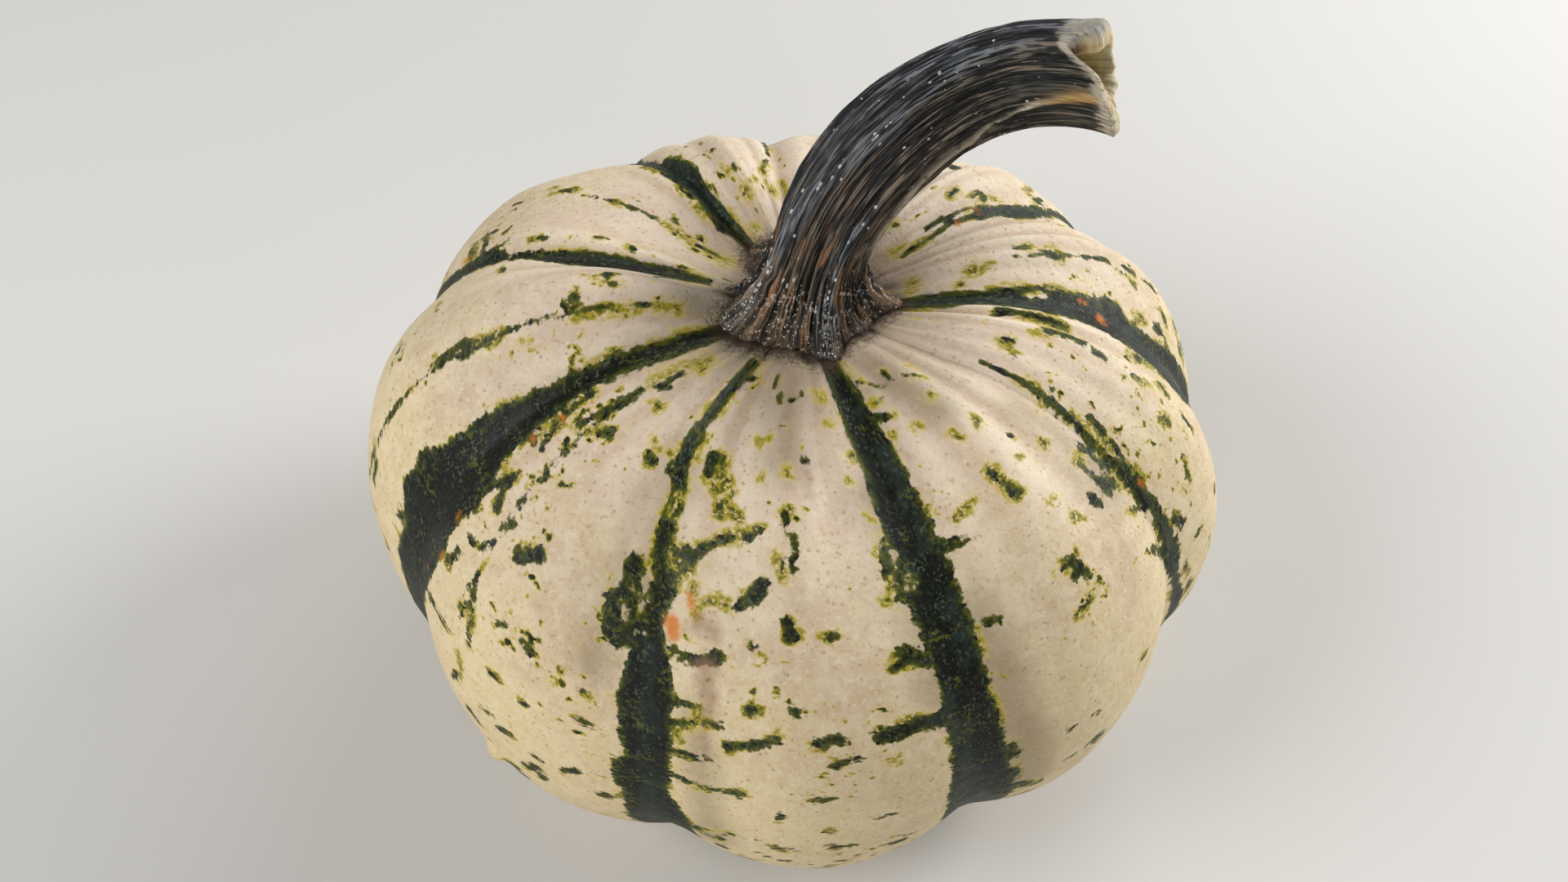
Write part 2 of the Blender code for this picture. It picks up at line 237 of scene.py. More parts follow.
# Marks are rounded strokes, listed by lobe: from hundredths across it and millimetres down, to hundredths
# across and millimetres down, and half the width in tenths of a millimetre, at both ends or the same for
# both. First the dark green ones
DARK_MARKS = {
    9: (
        (91, 57, 70, 58, 16, 14), (83, 48, 90, 49.5, 13, 12), (79, 49.6, 88, 49, 7, 9),
        (84, 39.5, 88, 38.5, 10, 16), (88, 36, 90, 40, 12), (85, 42.5, 89, 41.5, 5, 10),
        (49, 32.2, 48, 34.8, 5.5, 6), (52, 35, 50, 39.2, 6, 6.5), (38, 34.4, 33, 35.2, 5, 9),
        (46, 38, 46, 38.6, 5), (38, 40.5, 34, 41.8, 12, 13), (31, 42.3, 28, 43.4, 9, 5),
        (7, 26, 7, 28, 11), (34, 46.9, 35, 47, 9), (31, 54.2, 34, 54.2, 8, 6), (60, 46.1, 62, 46, 9, 6),
        (46, 44.2, 47, 46.2, 8, 12), (45, 54.6, 46, 54.9, 10), (51, 58.6, 59, 58.3, 8, 11),
        (55, 61.8, 63, 60.6, 9, 6), (40, 58, 24, 59.2, 7, 9), (48, 66.9, 53, 67, 8),
        (66, 71.2, 71, 71.4, 6, 7), (38, 69.6, 38, 70.4, 8), (35, 78, 42, 79.2, 9),
        (50, 79, 55, 78.4, 8, 6), (50, 73.9, 52, 73.6, 4), (41, 16, 42, 18, 4.5, 5),
        (46, 21.3, 48, 21.4, 6), (50, 17.3, 53, 17.2, 5), (60, 25.8, 60, 26, 7),
        (32, 12.5, 34, 15, 5, 4.5), (60, 15.4, 60, 16.4, 4.5, 5), (3, 38, 9, 38, 11, 12),
        (2, 40.6, 8, 39.4, 10), (10, 37.8, 26, 35.2, 10, 3), (12, 49.5, 21, 48.6, 7, 13),
        (5, 49, 14, 49.3, 12, 7), (4, 54.6, 14, 54.8, 10, 5), (3, 57.4, 22, 56.6, 8, 4),
        (2, 61.4, 18, 61.6, 9, 5), (1, 65.3, 12, 66.4, 9, 5), (12, 66.6, 26, 66.3, 5, 9),
        (5, 76, 18, 77.8, 13, 8), (4, 13.8, 9, 13.5, 8, 5),
    ),
    8: (
        (86, 41, 86, 44.6, 14, 15), (77, 46.2, 85, 44.8, 6, 11), (81, 46, 83, 49.6, 12, 16),
        (90, 45.2, 90, 49.4, 12, 13), (85, 50.2, 90, 49.6, 12, 14), (87, 48, 87, 48.4, 10),
        (66, 29.8, 71, 30.3, 6, 9), (83, 29.6, 84, 30.6, 5), (84, 75, 81, 75.6, 10, 8),
        (32, 19.2, 33, 22.6, 3.5, 5), (33, 23.2, 38, 22.2, 6, 5), (43, 24.6, 49, 25, 3, 4),
        (27, 25, 27, 29.4, 4, 8), (25, 29.8, 22, 33.4, 6), (27, 30, 28, 41, 2.5, 3),
        (33, 32.3, 38, 30.6, 5, 6), (27.5, 42.5, 28, 51, 4), (29, 47.2, 30, 46, 7, 6),
        (28, 51, 30, 56, 2, 2.5), (28, 56.5, 29, 61, 7, 5), (31, 56, 35, 63.5, 4, 6),
        (12, 46.5, 18, 43.2, 8), (18, 44.8, 21, 47, 8, 7), (14, 49.6, 10, 48, 9, 8),
        (18, 52.8, 26, 51.2, 6, 7), (38, 48.2, 41, 48.8, 9, 10), (43, 48, 48, 46.6, 12, 10),
        (10, 30, 10, 34, 5), (12, 35, 18, 38.4, 6, 7), (9, 37.6, 12, 38.8, 5), (44, 57, 47, 56.4, 6, 5),
        (45, 64.3, 49, 63.9, 5, 6), (58, 64.8, 60, 64.3, 3, 5), (76, 62.3, 82, 62.3, 6, 5),
        (77, 58.1, 78, 58.2, 6, 5), (48, 73.4, 54, 72.4, 6, 9), (71, 73.2, 75, 71.8, 7, 9),
        (42, 71.6, 47, 71.2, 4, 5), (60, 74, 64, 73.6, 6), (28, 73, 31, 70.4, 6, 8),
        (35, 76, 40, 77.2, 10, 9), (57, 78.8, 62, 76.6, 8, 11), (62, 79.4, 64, 78, 8),
        (15, 58, 18, 55.2, 8, 9), (10, 66.2, 19, 65.4, 8, 6), (19, 65.8, 27, 65, 4, 5),
        (55, 56.4, 58, 57.2, 7, 8),
    ),
    7: (
        (67, 20.5, 68, 25.5, 3, 4), (67, 25.5, 66, 31, 5, 4), (65.5, 31, 64.5, 40, 3.5, 4),
        (60, 29.2, 63, 30.6, 7, 9), (64.5, 40.5, 64, 44.6, 6, 8), (61, 43.4, 61.5, 49, 8),
        (62, 49.5, 63.5, 64.5, 4, 5), (66, 66, 67, 69.5, 7, 8), (62, 66.5, 63, 72, 5),
        (55, 24.5, 55, 25, 4), (86, 63.5, 84, 65, 7, 6), (40, 56.2, 41, 56.6, 8),
        (10, 39.2, 15, 38.8, 6, 5), (17, 16, 30, 19, 6, 4),
    ),
    6: (
        (83, 23.4, 91, 22.4, 4, 5), (84, 26.4, 84.5, 27.8, 6), (90, 34.6, 90, 36.2, 4),
        (87, 29.4, 87, 30.8, 3), (86, 40.8, 93, 42.4, 5, 7), (93, 42.4, 95, 44.4, 7, 9),
        (82, 46.5, 91, 45.6, 5, 7), (86, 49.6, 91, 48.6, 6, 7), (56, 46.4, 57, 48.4, 4, 5),
        (43, 14, 44, 17.4, 5, 4), (41, 24, 42, 28, 2.5, 3), (43, 28.4, 45, 33, 3),
        (46, 34, 49, 36.6, 3, 2.5), (47, 38.4, 48, 41, 2.5, 3), (34, 21.6, 34.5, 23.8, 3),
        (36.5, 28.4, 37, 28.8, 2.5),
    ),
    5: (
        (20, 17.2, 17, 17, 3), (21, 21.4, 8, 23.2, 4), (4, 25, 4, 26, 5, 4),
        (63, 14.7, 63.5, 15.2, 3.5), (61, 18.2, 67, 18, 3), (59, 21.6, 59, 22.8, 4.5),
        (64, 28.3, 64, 28.8, 5), (78, 34.1, 74, 34.6, 5, 4), (65.5, 32.8, 65, 33.8, 3, 2.5),
        (61, 43.8, 63, 44.2, 6, 5), (50, 44.4, 52, 43.6, 3),
    ),
    3: (
        (15.5, 17.9, 16, 20.6, 5), (17, 27.2, 27, 28.2, 5, 7), (27, 26.2, 28, 28, 4, 6),
        (11, 37.2, 17, 39.2, 6), (38, 23.6, 37.5, 25.2, 4, 3.5), (42, 15.2, 46, 15.2, 4),
        (68, 30.5, 72, 30.2, 14, 10),
    ),
    2: (
        (90.5, 28.1, 92, 28.3, 4, 3), (38, 25.6, 40, 31, 2.5, 5), (39, 31, 42, 34.6, 6, 2),
        (42, 35, 45, 40, 2, 6), (46, 26.2, 46.5, 28, 7, 6), (45, 28.4, 43, 30, 5, 4),
        (40, 41, 40, 42.6, 4), (35, 43.8, 36, 44, 5), (45, 45, 46, 43, 6), (44, 47, 44, 50, 5, 7),
        (17, 47.4, 18, 48, 12, 13), (24, 50.6, 30, 50, 5, 6), (10, 50.5, 16, 49, 7),
        (15, 18.4, 17, 18.8, 4, 5),
    ),
    1: (
        (77, 23, 78, 27.6, 5, 6), (77, 28, 75, 31.4, 7, 5), (62, 29, 62, 33.8, 8, 9),
        (57, 35, 57, 37, 7, 6), (76, 41.4, 79, 42.6, 9, 8), (63, 46.8, 68, 46, 9, 7),
        (55, 41, 57, 43.4, 3, 4), (55, 53, 57, 50, 3), (42, 46.5, 44, 47.6, 5, 6),
        (30, 54.5, 33, 52.8, 5), (37, 24.5, 37, 25.6, 5), (25, 25.8, 26, 26.2, 4, 5),
        (10, 31.8, 11, 31.8, 6), (9, 37.4, 6, 42.4, 8), (11, 55.8, 15, 58.4, 8, 9), (5, 44, 5, 48, 5),
        (12, 65.4, 13, 66.4, 8, 6), (17, 71.6, 20, 73.6, 9, 7),
    ),
    0: (
        (10, 38, 21, 38.3, 12, 4), (13, 20.5, 19, 21.5, 10, 8), (14, 47.6, 19, 48.2, 9, 5),
        (12, 66, 14, 68, 9, 7), (13, 71, 16, 73.5, 9, 7), (14, 76, 20, 78, 10, 7),
        (45, 33.6, 49, 37.4, 5, 8), (52, 47.2, 56, 50, 10, 9), (47, 47.2, 49, 47.4, 6, 4),
        (50, 49, 54, 48.4, 8, 9), (84, 39.2, 87, 44.8, 7, 8), (88, 42.8, 93, 44.4, 10, 9),
        (92, 38, 95, 38.8, 8, 7), (94, 39.6, 96, 42.4, 6), (77, 43, 79, 44.4, 9, 8),
        (65, 43.4, 67, 43.6, 5), (69, 31.2, 70, 31.4, 5, 4), (79, 34.4, 80, 34.6, 5, 4),
        (92, 47.8, 95, 49.2, 6, 7), (91, 55, 98, 57.6, 10, 12), (53, 17.6, 62, 19.2, 3, 4),
        (18, 18.8, 26, 18.6, 3), (18, 14.6, 34, 17.2, 3.5, 3), (45, 53, 53, 52.4, 5),
        (32, 68.6, 35, 68.8, 5, 4), (42, 69.2, 45, 70.4, 3, 4), (68, 67.8, 72, 67.8, 4, 5),
        (42, 17, 44, 15.2, 3, 6),
    ),
}

# Yellow-green patches and streaks
YELLOW_MARKS = {
    9: (
        (12, 26.5, 16, 29.5, 12, 18), (5, 29.2, 7, 29.6, 8, 6), (18, 32.8, 20, 31.5, 13, 12),
        (25, 32.6, 29, 33.4, 13, 8), (23, 30.5, 24, 30.8, 8, 6), (38, 28.1, 38, 28.4, 7),
        (50, 27.4, 50, 28, 6), (31, 23.6, 38, 23.4, 8, 7), (45, 37.4, 46, 40, 6),
        (17, 42.6, 24, 42.6, 10, 9), (10, 41.5, 14, 44.6, 10, 8), (5, 58.2, 8, 59.4, 12, 10),
        (86, 25, 87, 25.8, 9, 6), (82, 28.6, 83, 28.6, 8, 7), (86, 32.6, 88, 33, 7, 5),
        (85, 37, 87, 41, 10, 8), (82, 42.4, 84, 41, 8, 6), (75, 15.2, 78, 16.8, 7, 6),
        (78, 20.4, 80, 20.4, 6), (71, 61.2, 75, 61.4, 7, 5),
    ),
    8: (
        (93, 32.4, 94, 35.4, 9, 8), (97, 24, 98, 27.5, 6, 5), (40, 17.4, 46, 17.4, 9, 8),
        (28, 17.5, 36, 15.5, 6, 9), (27, 19, 26, 24, 6), (66, 28.6, 79, 28.6, 7, 5),
        (10, 30, 12, 33.8, 7), (15, 43.5, 20, 47, 8, 9), (32, 66.5, 33, 70, 9, 7),
    ),
    7: (
        (68, 17, 68, 20, 9, 7), (69, 22, 68, 30, 7, 6), (55, 24.5, 56, 25, 7, 5), (70, 35, 70, 36, 5),
        (13, 39, 17, 38.6, 9, 8), (24, 49, 32, 48.8, 7, 5),
    ),
    6: (
        (43, 12.5, 45, 18, 12, 8), (41, 19.5, 41, 23, 7, 5), (45, 38.5, 50, 42, 9, 6),
        (46, 42.5, 47, 43.5, 5), (86, 23.5, 80, 22, 8, 6), (86, 27.4, 83, 27.2, 9, 6),
        (90, 36, 91, 36.8, 9, 8), (84, 49.5, 92, 48, 13, 14), (12, 18.5, 13, 21.5, 10, 8),
        (10, 31, 11, 35, 8, 7),
    ),
    5: (
        (76, 13.2, 80, 13.2, 8, 6), (61, 17, 63, 19, 8), (66, 22.5, 67, 24.5, 7, 6),
        (38, 19, 46, 18.8, 6, 4), (12, 22, 20, 20.6, 9, 8),
    ),
    4: ((95, 17.5, 97, 18.8, 8, 7),),
    3: (
        (13, 36.6, 25, 37.2, 6), (25, 37.2, 42, 45, 6, 8), (10, 14, 16, 12.6, 6, 5),
        (9, 30, 15, 28.8, 5, 6), (37, 24, 38, 25.6, 6, 5),
    ),
    2: (
        (79, 35.4, 98, 45, 5, 9), (20, 12.6, 31, 13.2, 7, 8), (16, 18.4, 17, 18.8, 8, 7),
        (30, 20, 34, 22.4, 9, 7), (8, 22, 10, 28, 7, 6), (13, 43, 17, 44.6, 13, 10),
        (20, 50.2, 32, 50.2, 8, 7), (46, 30.6, 47, 31.6, 7, 6), (36, 43.6, 38, 43.8, 9, 6),
    ),
    1: (
        (76, 26, 76, 30, 10, 7), (54, 28, 56, 29.4, 8, 6), (76, 40.6, 80, 44.6, 10, 9),
        (56, 42.5, 58, 43.8, 8, 6), (63, 45.4, 69, 46.6, 9, 8), (40, 46.2, 46, 47.6, 6),
        (6, 38, 5, 42, 8, 7), (12, 66.5, 15, 68.6, 6, 7),
    ),
    0: (
        (84, 38.6, 93, 38.6, 10, 7), (78, 34.4, 82, 35, 6, 5), (44, 27.8, 45, 28.4, 8, 7),
        (58, 28.4, 62, 27.6, 7), (52, 22, 53, 22.6, 5), (30, 24, 32, 24.6, 7, 6),
        (20, 35.8, 31, 35, 8, 5), (46, 33.2, 48, 34, 7), (62, 34.2, 63, 34.2, 5, 4),
        (60, 40.2, 64, 40.2, 6, 5), (56, 46.6, 57, 46.8, 5, 4), (48, 47, 50, 47.6, 8, 7),
        (46, 53.2, 54, 52.4, 9, 7), (12, 24.4, 16, 23.6, 6, 5), (15, 18.5, 18, 18.8, 7, 6),
        (90, 48, 92, 49, 8, 7), (68, 16.5, 70, 17, 5, 4),
    ),
}

# Orange spots, and pale gaps inside the stripes
ORANGE_MARKS = {
    9: ((4, 45.4, 5, 47, 11, 8), (9, 42, 12, 44, 5, 4),),
    8: (
        (9, 38.4, 11, 38.6, 2), (11, 34.6, 13, 34.8, 2), (11, 57.6, 11, 58.6, 2, 3),
        (4, 63, 5, 63.8, 2), (8, 52, 9, 53, 1),
    ),
    6: ((91, 49, 92, 50.4, 5, 3), (90, 57.6, 90, 58.4, 4, 3),),
    3: ((2, 21.6, 5, 21.8, 2), (5, 25.4, 12, 25.4, 1),),
    2: ((8, 33.4, 9, 34.2, 1),),
    1: ((97, 36.6, 101, 36.4, 7), (4.5, 47.2, 5, 48.2, 2),),
}
PALE_GAPS = {
    9: ((93, 39.5, 93, 40.5, 5, 4), (90, 36.8, 90, 38, 4),),
    8: (
        (94.5, 32, 94, 35.4, 2.5, 2), (87, 42.8, 87, 43.6, 3), (87, 46.4, 87, 47.2, 5, 4),
        (91, 43.4, 92, 46, 4, 3),
    ),
    3: ((10, 22, 11, 24.5, 4),),
    2: ((6, 27, 7, 28.6, 6, 5),),
    1: ((4, 38, 3, 43, 7, 6), (8, 57.6, 10, 57.4, 5, 4),),
}

# Brown, dull skin
SCUFF_MARKS = {
    9: (
        (14, 45.5, 20, 46, 20, 18), (17, 50, 18, 55, 22, 18), (16, 58, 17, 61, 12, 10),
        (60, 27.5, 61, 30.5, 9, 8),
    ),
}

# Painted shade on the flanks beside the furrows, and near the stalk on two lobes
SHADE_MARKS = {
    9: ((93, 30, 92, 52, 30, 32), (12, 56, 16, 78, 25, 35), (50, 14, 50, 26, 14, 22),),
    8: ((92, 28, 91, 46, 25, 30), (80, 34, 78, 54, 12, 16),),
    0: ((12, 46, 14, 76, 30, 45), (86, 30, 90, 44, 20, 25), (40, 14, 48, 24, 12, 20),),
}

# Bluish bloom on the stripes, in part a painted sheen
SLATE_MARKS = {
    9: (
        (94, 17.5, 110, 19, 14), (95, 60, 98, 80, 16, 20), (93, 54, 88, 58, 16, 18),
        (2, 37.5, 5, 41, 10), (16, 48.8, 22, 48.6, 10),
    ),
    8: ((98, 50, 94, 78, 12, 16), (7, 48, 6, 60, 8), (28, 57, 29, 61, 8), (14, 65.2, 20, 65.6, 10, 8),),
    7: ((2, 14, 0, 40, 12),),
    6: ((4, 14, -2, 38, 20, 22), (93, 42, 94, 50, 10),),
    3: ((2, 26, 4, 44, 16),),
    2: ((0, 40, -5, 56, 14),),
    1: ((92, 14, 94, 32, 18), (2, 27, 2, 36, 10), (4, 56, 5, 76, 20),),
    0: ((7, 26, 5, 50, 8, 10),),
}

# The fields of the rind in which its material finds the marks
FIELD_MARKS = {
    "yellow_mm": YELLOW_MARKS,
    "orange_mm": ORANGE_MARKS,
    "scuff_mm": SCUFF_MARKS,
    "shade_mm": SHADE_MARKS,
    "slate_mm": SLATE_MARKS,
}

# A mark's half width before its edge is made ragged, against the listed one
STROKE_FULLNESS = 0.75

# Small flecks that are strewn at random: from and to places, from and to millimetres down, and how many
STREWN_FLECKS = (
    (9.15, 9.85, 76, 92, 22), (0.15, 0.85, 74, 90, 16), (8.15, 8.85, 78, 92, 18), (7.1, 7.85, 70, 90, 18),
    (1.15, 1.85, 62, 90, 22), (2.2, 2.85, 54, 90, 22), (3.15, 3.9, 40, 90, 26), (4.1, 4.9, 26, 90, 26),
    (5.1, 5.9, 38, 90, 26), (6.15, 6.9, 58, 90, 20), (0.0, 10.0, 92, 128, 60),
)
FLECK_SEED = 11

# Soft hollows and swellings: place, millimetres down, half width in lobes, and half length and depth in
# millimetres
HOLLOWS = (
    (8.66, 44, 0.09, 16, 0.55),
    (9.70, 52, 0.10, 12, 0.30),
    (0.25, 52, 0.10, 14, 0.35),
    (8.44, 82.5, 0.032, 1.0, -1.3),
)

# Fine relief on the rind: heights in millimetres, and the bumps to a metre of its uneven skin
RIB_HEIGHT = 0.2
UNEVEN_HEIGHT = 0.22
UNEVEN_SCALE = 90

# How the rind's looks change with the millimetres down: the reach and the length of its grain in
# millimetres, its low, buttery tone, and how ragged its marks are
GRAIN_REACH = ((0, 15, 30, 45, 60), (22, 24, 32, 46, 55))
GRAIN_STRETCH = ((0, 30, 45, 60, 80, 140), (0, 12, 19, 33, 72, 186))
LOW_DOWN = ((15, 75), (0, 1))
RAGGED_DOWN = ((12, 34), (0.4, 1))

# Painted shade and dust round the stalk's foot: no further down than this, in millimetres, and how fast
# the shade fades at a number of places, against the front. Then the half width of the corky blossom scar
SHADED_DOWN = 60
FOOT_SHADE_FADE = ((0, 1, 2, 4, 6, 8, 9, 10), (1.0, 1.3, 2.2, 2.2, 1.6, 1.2, 1.0, 1.0))
BLOSSOM_SCAR = 2.4

# Layers of fibres: strands round the stalk, their length in metres, weight, and where their pattern starts
FIBRE_LAYERS = ((9, 0.055, 0.5, 3), (21, 0.03, 0.5, 17), (44, 0.014, 0.4, 41), (84, 0.008, 0.3, 71))

# Fine relief on the stalk, in millimetres: fibres, knobs on the foot, the cut rim's waves and rounding,
# and the bulge of its upper lip. The knobs' pattern has a radius round the stalk, and a length in metres
FIBRE_HEIGHT = 0.28
FOOT_LUMP = 0.6
LUMPS_ROUND = 7
LUMP_LENGTH = 0.0013
RIM_WAVE = 0.6
RIM_ROUNDING = 0.5
TOP_LIP_BULGE = 0.7

# Fine ridges that wander round the stalk: shares along it, and the place where the ridge is there
SPECKLED_CREST = (
    (0.04, 0.15, 0.25, 0.32, 0.4, 0.52, 0.6, 0.7, 0.92), (7.85, 8.0, 8.2, 8.4, 8.7, 8.85, 8.6, 8.45, 8.3),
)
LOWER_SEAM = (
    (0, 0.2, 0.36, 0.5, 0.66, 0.79, 0.88, 0.98), (11.7, 11.6, 11.5, 11.2, 11.2, 10.6, 10.2, 9.75),
)
FRONT_BUTTRESS = ((0, 0.18, 0.31, 0.45), (10, 9.95, 10.15, 10.5))
CREST_HEIGHT = 0.45
SEAM_HEIGHT = 0.4

# The pale lip at the cut end: places round the stalk, and how far the lip reaches back, in millimetres
LIP_PLACES = (0.5, 2, 4, 5.4, 6.2, 7.2, 7.9, 8.3, 9)
LIP_REACHES = (1.4, 1.4, 1.2, 1.6, 3.4, 3.8, 3.2, 1.4, 0.9)


def smooth(value):
    """Eases a value from 0 to 1, and holds it there outside that range."""
    value = np.clip(value, 0, 1)
    return value * value * (3 - 2 * value)


def bump_at(value, middle, width):
    """A soft hump, 1 high at the middle."""
    return np.exp(-(((value - middle) / width) ** 2))


def lobes_off(place, middle):
    """How many lobes a place is past another, the short way round."""
    return (place - middle + LOBE_COUNT / 2) % LOBE_COUNT - LOBE_COUNT / 2


def unit(vectors):
    """Vectors of length 1."""
    return vectors / np.maximum(np.linalg.norm(vectors, axis=-1, keepdims=True), SHORTEST)


def round_spots(turn, reach, along):
    """Points round a tube and along it, so that noise closes on itself."""
    return np.stack(np.broadcast_arrays(np.cos(turn) * reach, np.sin(turn) * reach, along), -1)


def noise_at(spots):
    """Soft noise, from -1 to 1, at many points."""
    return np.array([noise.noise(Vector(spot)) for spot in spots.reshape(-1, 3)]).reshape(spots.shape[:-1])


# The rind's form


def lobe_angle(place, inward):
    """Azimuth of a place counted in lobes, and its lobe's width, at a share inward from the girth."""
    lobe = np.floor(place).astype(int)
    first, second = lobe % LOBE_COUNT, (lobe + 1) % LOBE_COUNT
    start = np.radians(AZIMUTH[first] + SWING[first] * inward)
    end = np.radians(AZIMUTH[second] + SWING[second] * inward)
    end = np.where(end < start, end + math.tau, end)
    return start + (end - start) * (place - lobe), end - start


def lobe_share(ratios, place):
    """A lobe's own ratio at its crest, and the mean of two neighbours' in the furrow between them."""
    lobe = np.floor(place).astype(int)
    across = place - lobe
    beside = lobe + np.where(across > 0.5, 1, -1)
    own = ratios[lobe % LOBE_COUNT]
    furrow = (own + ratios[beside % LOBE_COUNT]) / 2
    return furrow + (own - furrow) * np.sin(math.pi * across) ** 2


def lobe_crest(place, softness):
    """Section of a lobe: 0 in the furrows beside it and 1 on its crest."""
    half_power = FURROW_POWER / 2
    bottom = softness**half_power
    rise = (np.sin(math.pi * place) ** 2 + softness) ** half_power
    return (rise - bottom) / ((1 + softness) ** half_power - bottom)


def groove_drop(place, reach):
    """Depth of the faint grooves on a lobe, which run out a little past the crown."""
    drop = sum(bump_at(place % 1, middle, GROOVE_WIDTH) for middle in GROOVE_PLACES)
    return GROOVE_DEPTH * drop * smooth(reach / GROOVE_START) * smooth((1 - reach) / GROOVE_END)


def settled_drop(drop):
    """A depth below the girth, once the fruit's weight has flattened its underside."""
    over = np.maximum(drop - SETTLE_DROP, 0)
    return np.minimum(drop, SETTLE_DROP) + SETTLE_GIVE * np.tanh(over / SETTLE_GIVE)


def rind_points(place, rise):
    """Points of the rind at places counted in lobes and rises in radians, from the middle of the girth."""
    up = np.sin(rise)
    low = np.maximum(-up, 0)
    reach = np.maximum(np.cos(rise), 0) ** SHOULDER_POWER
    azimuth, width = lobe_angle(place, np.where(up > 0, 1 - reach, reach - 1))
    depth = (GIRTH_FURROW * (1 - low) + BASE_FURROW * low) * np.sqrt(width / EVEN_LOBE)
    crest = lobe_crest(place, CROWN_SOFTNESS + (BASE_SOFTNESS - CROWN_SOFTNESS) * (1 - up) / 2)
    keep = 1 - depth * (1 - crest) * np.minimum(reach / FURROW_FADE, 1)
    radius = FRUIT_RADIUS * lobe_share(REACH, place) * reach * keep
    crown = 1 + (lobe_share(CROWN, place) - 1) * smooth(reach / CROWN_BLEND)
    basin = BASIN_DEPTH * bump_at(reach * FRUIT_RADIUS, 0, BASIN_RADIUS)
    top = CROWN_RISE * crown * np.maximum(up, 0) ** CROWN_POWER * keep - basin - groove_drop(place, reach)
    dimple = BLOSSOM_DIMPLE * bump_at(reach * FRUIT_RADIUS, 0, BLOSSOM_RADIUS)
    base = -settled_drop(BASE_DROP * low**BASE_POWER * keep - dimple)
    inward = np.where(up > 0, 1 - reach, 0)
    x = radius * np.cos(azimuth) + CROWN_OFFSET[0] * inward
    y = radius * np.sin(azimuth) + CROWN_OFFSET[1] * inward
    return np.stack((x, y, np.where(up > 0, top, base)), -1)


def rib_heights(place, down):
    """Faint ribs down from the stalk, four to a lobe: from -1 to 1, and 0 where they have run out."""
    near_stalk = smooth((down - 9) / 8) * smooth((56 - down) / 34)
    strength = 0.4 + 0.6 * np.sin(place * 2.9) ** 2
    return np.sin(math.tau * place * 4 + 1.5 * np.sin(place * 7.1)) * strength * near_stalk


def rind_relief(place, down, points):
    """Small heights on the rind, in metres: fine ribs round the stalk, hollows, and an uneven skin."""
    hollows = sum(
        depth * bump_at(lobes_off(place, middle), 0, wide) * bump_at(down, middle_down, long)
        for middle, middle_down, wide, long, depth in HOLLOWS
    )
    uneven = UNEVEN_HEIGHT * noise_at(points * UNEVEN_SCALE)
    return (RIB_HEIGHT * rib_heights(place, down) - hollows + uneven) * MM


# The making of meshes


def ball_mesh(name, columns, rings):
    """A ball as a mesh, with the row and the column of the grid that each of its points stands on."""
    ball = bmesh.new()
    bmesh.ops.create_grid(ball, x_segments=columns, y_segments=rings, size=0.5)
    for point in ball.verts:
        turn, down = math.tau * (point.co.x + 0.5), math.pi * (0.5 - point.co.y)
        point.co = (math.sin(down) * math.cos(turn), math.sin(down) * math.sin(turn), math.cos(down))
    bmesh.ops.remove_doubles(ball, verts=ball.verts, dist=SEAM_MERGE)
    bmesh.ops.recalc_face_normals(ball, faces=ball.faces)
    mesh = bpy.data.meshes.new(name)
    ball.to_mesh(mesh)
    ball.free()
    points = np.empty(len(mesh.vertices) * 3)
    mesh.vertices.foreach_get("co", points)
    x, y, z = points.reshape(-1, 3).T
    column = np.rint(np.arctan2(y, x) / math.tau * columns).astype(int) % columns
    row = np.rint(np.arccos(np.clip(z, -1, 1)) / math.pi * rings).astype(int)
    return mesh, row, column


def fitted(points, node):
    """Points, stretched a little so that they fill the box of a CAD node."""
    low, high = (np.array(corner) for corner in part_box(node))
    own_low, own_high = points.min(0), points.max(0)
    return low + (points - own_low) * (high - low) / (own_high - own_low)


def finished_piece(mesh, points, fields, material, node):
    """Puts a mesh in the scene as a smooth piece, on the CAD body and in place of its node.

    The fields are numbers or vectors at the mesh's points, for its material to read.
    """
    mesh.vertices.foreach_set("co", np.ascontiguousarray(points, float).ravel())
    mesh.update()
    for name, values in fields.items():
        kind, key = ("FLOAT_VECTOR", "vector") if values.ndim > 1 else ("FLOAT", "value")
        field = mesh.attributes.new(name, kind, "POINT")
        field.data.foreach_set(key, np.ascontiguousarray(values, np.float32).ravel())
    mesh.shade_smooth()
    mesh.materials.append(material)
    piece = bpy.data.objects.new(mesh.name, mesh)
    bpy.context.scene.collection.objects.link(piece)
    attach(piece, "root")
    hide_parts(node)


# Marks on the rind: each is a depth in millimetres inside the mark, and less than 0 outside it


def stripe_depth(place, down, lobe_width, furrow, edges):
    """Depth inside a stripe."""
    downs, lefts, rights = np.array(edges + (STRIPE_END,)).T
    across = lobes_off(place, furrow)
    left = (across - np.interp(down, downs, lefts / 100)) * lobe_width
    right = (np.interp(down, downs, rights / 100) - across) * lobe_width
    return np.minimum.reduce((left, right, down - downs[0], downs[-1] - down))


def stroke_depth(place, down, lobe_width, stroke):
    """Depth inside a rounded stroke."""
    place_from, down_from, place_to, down_to, half_from, half_to = stroke
    across = lobes_off(place, place_from) * lobe_width
    along = down - down_from
    step_across = (place_to - place_from) * lobe_width
    step_along = down_to - down_from
    share = (across * step_across + along * step_along) / (step_across**2 + step_along**2)
    share = np.clip(share, 0, 1)
    off = np.hypot(across - share * step_across, along - share * step_along)
    return STROKE_FULLNESS * (half_from + (half_to - half_from) * share) - off


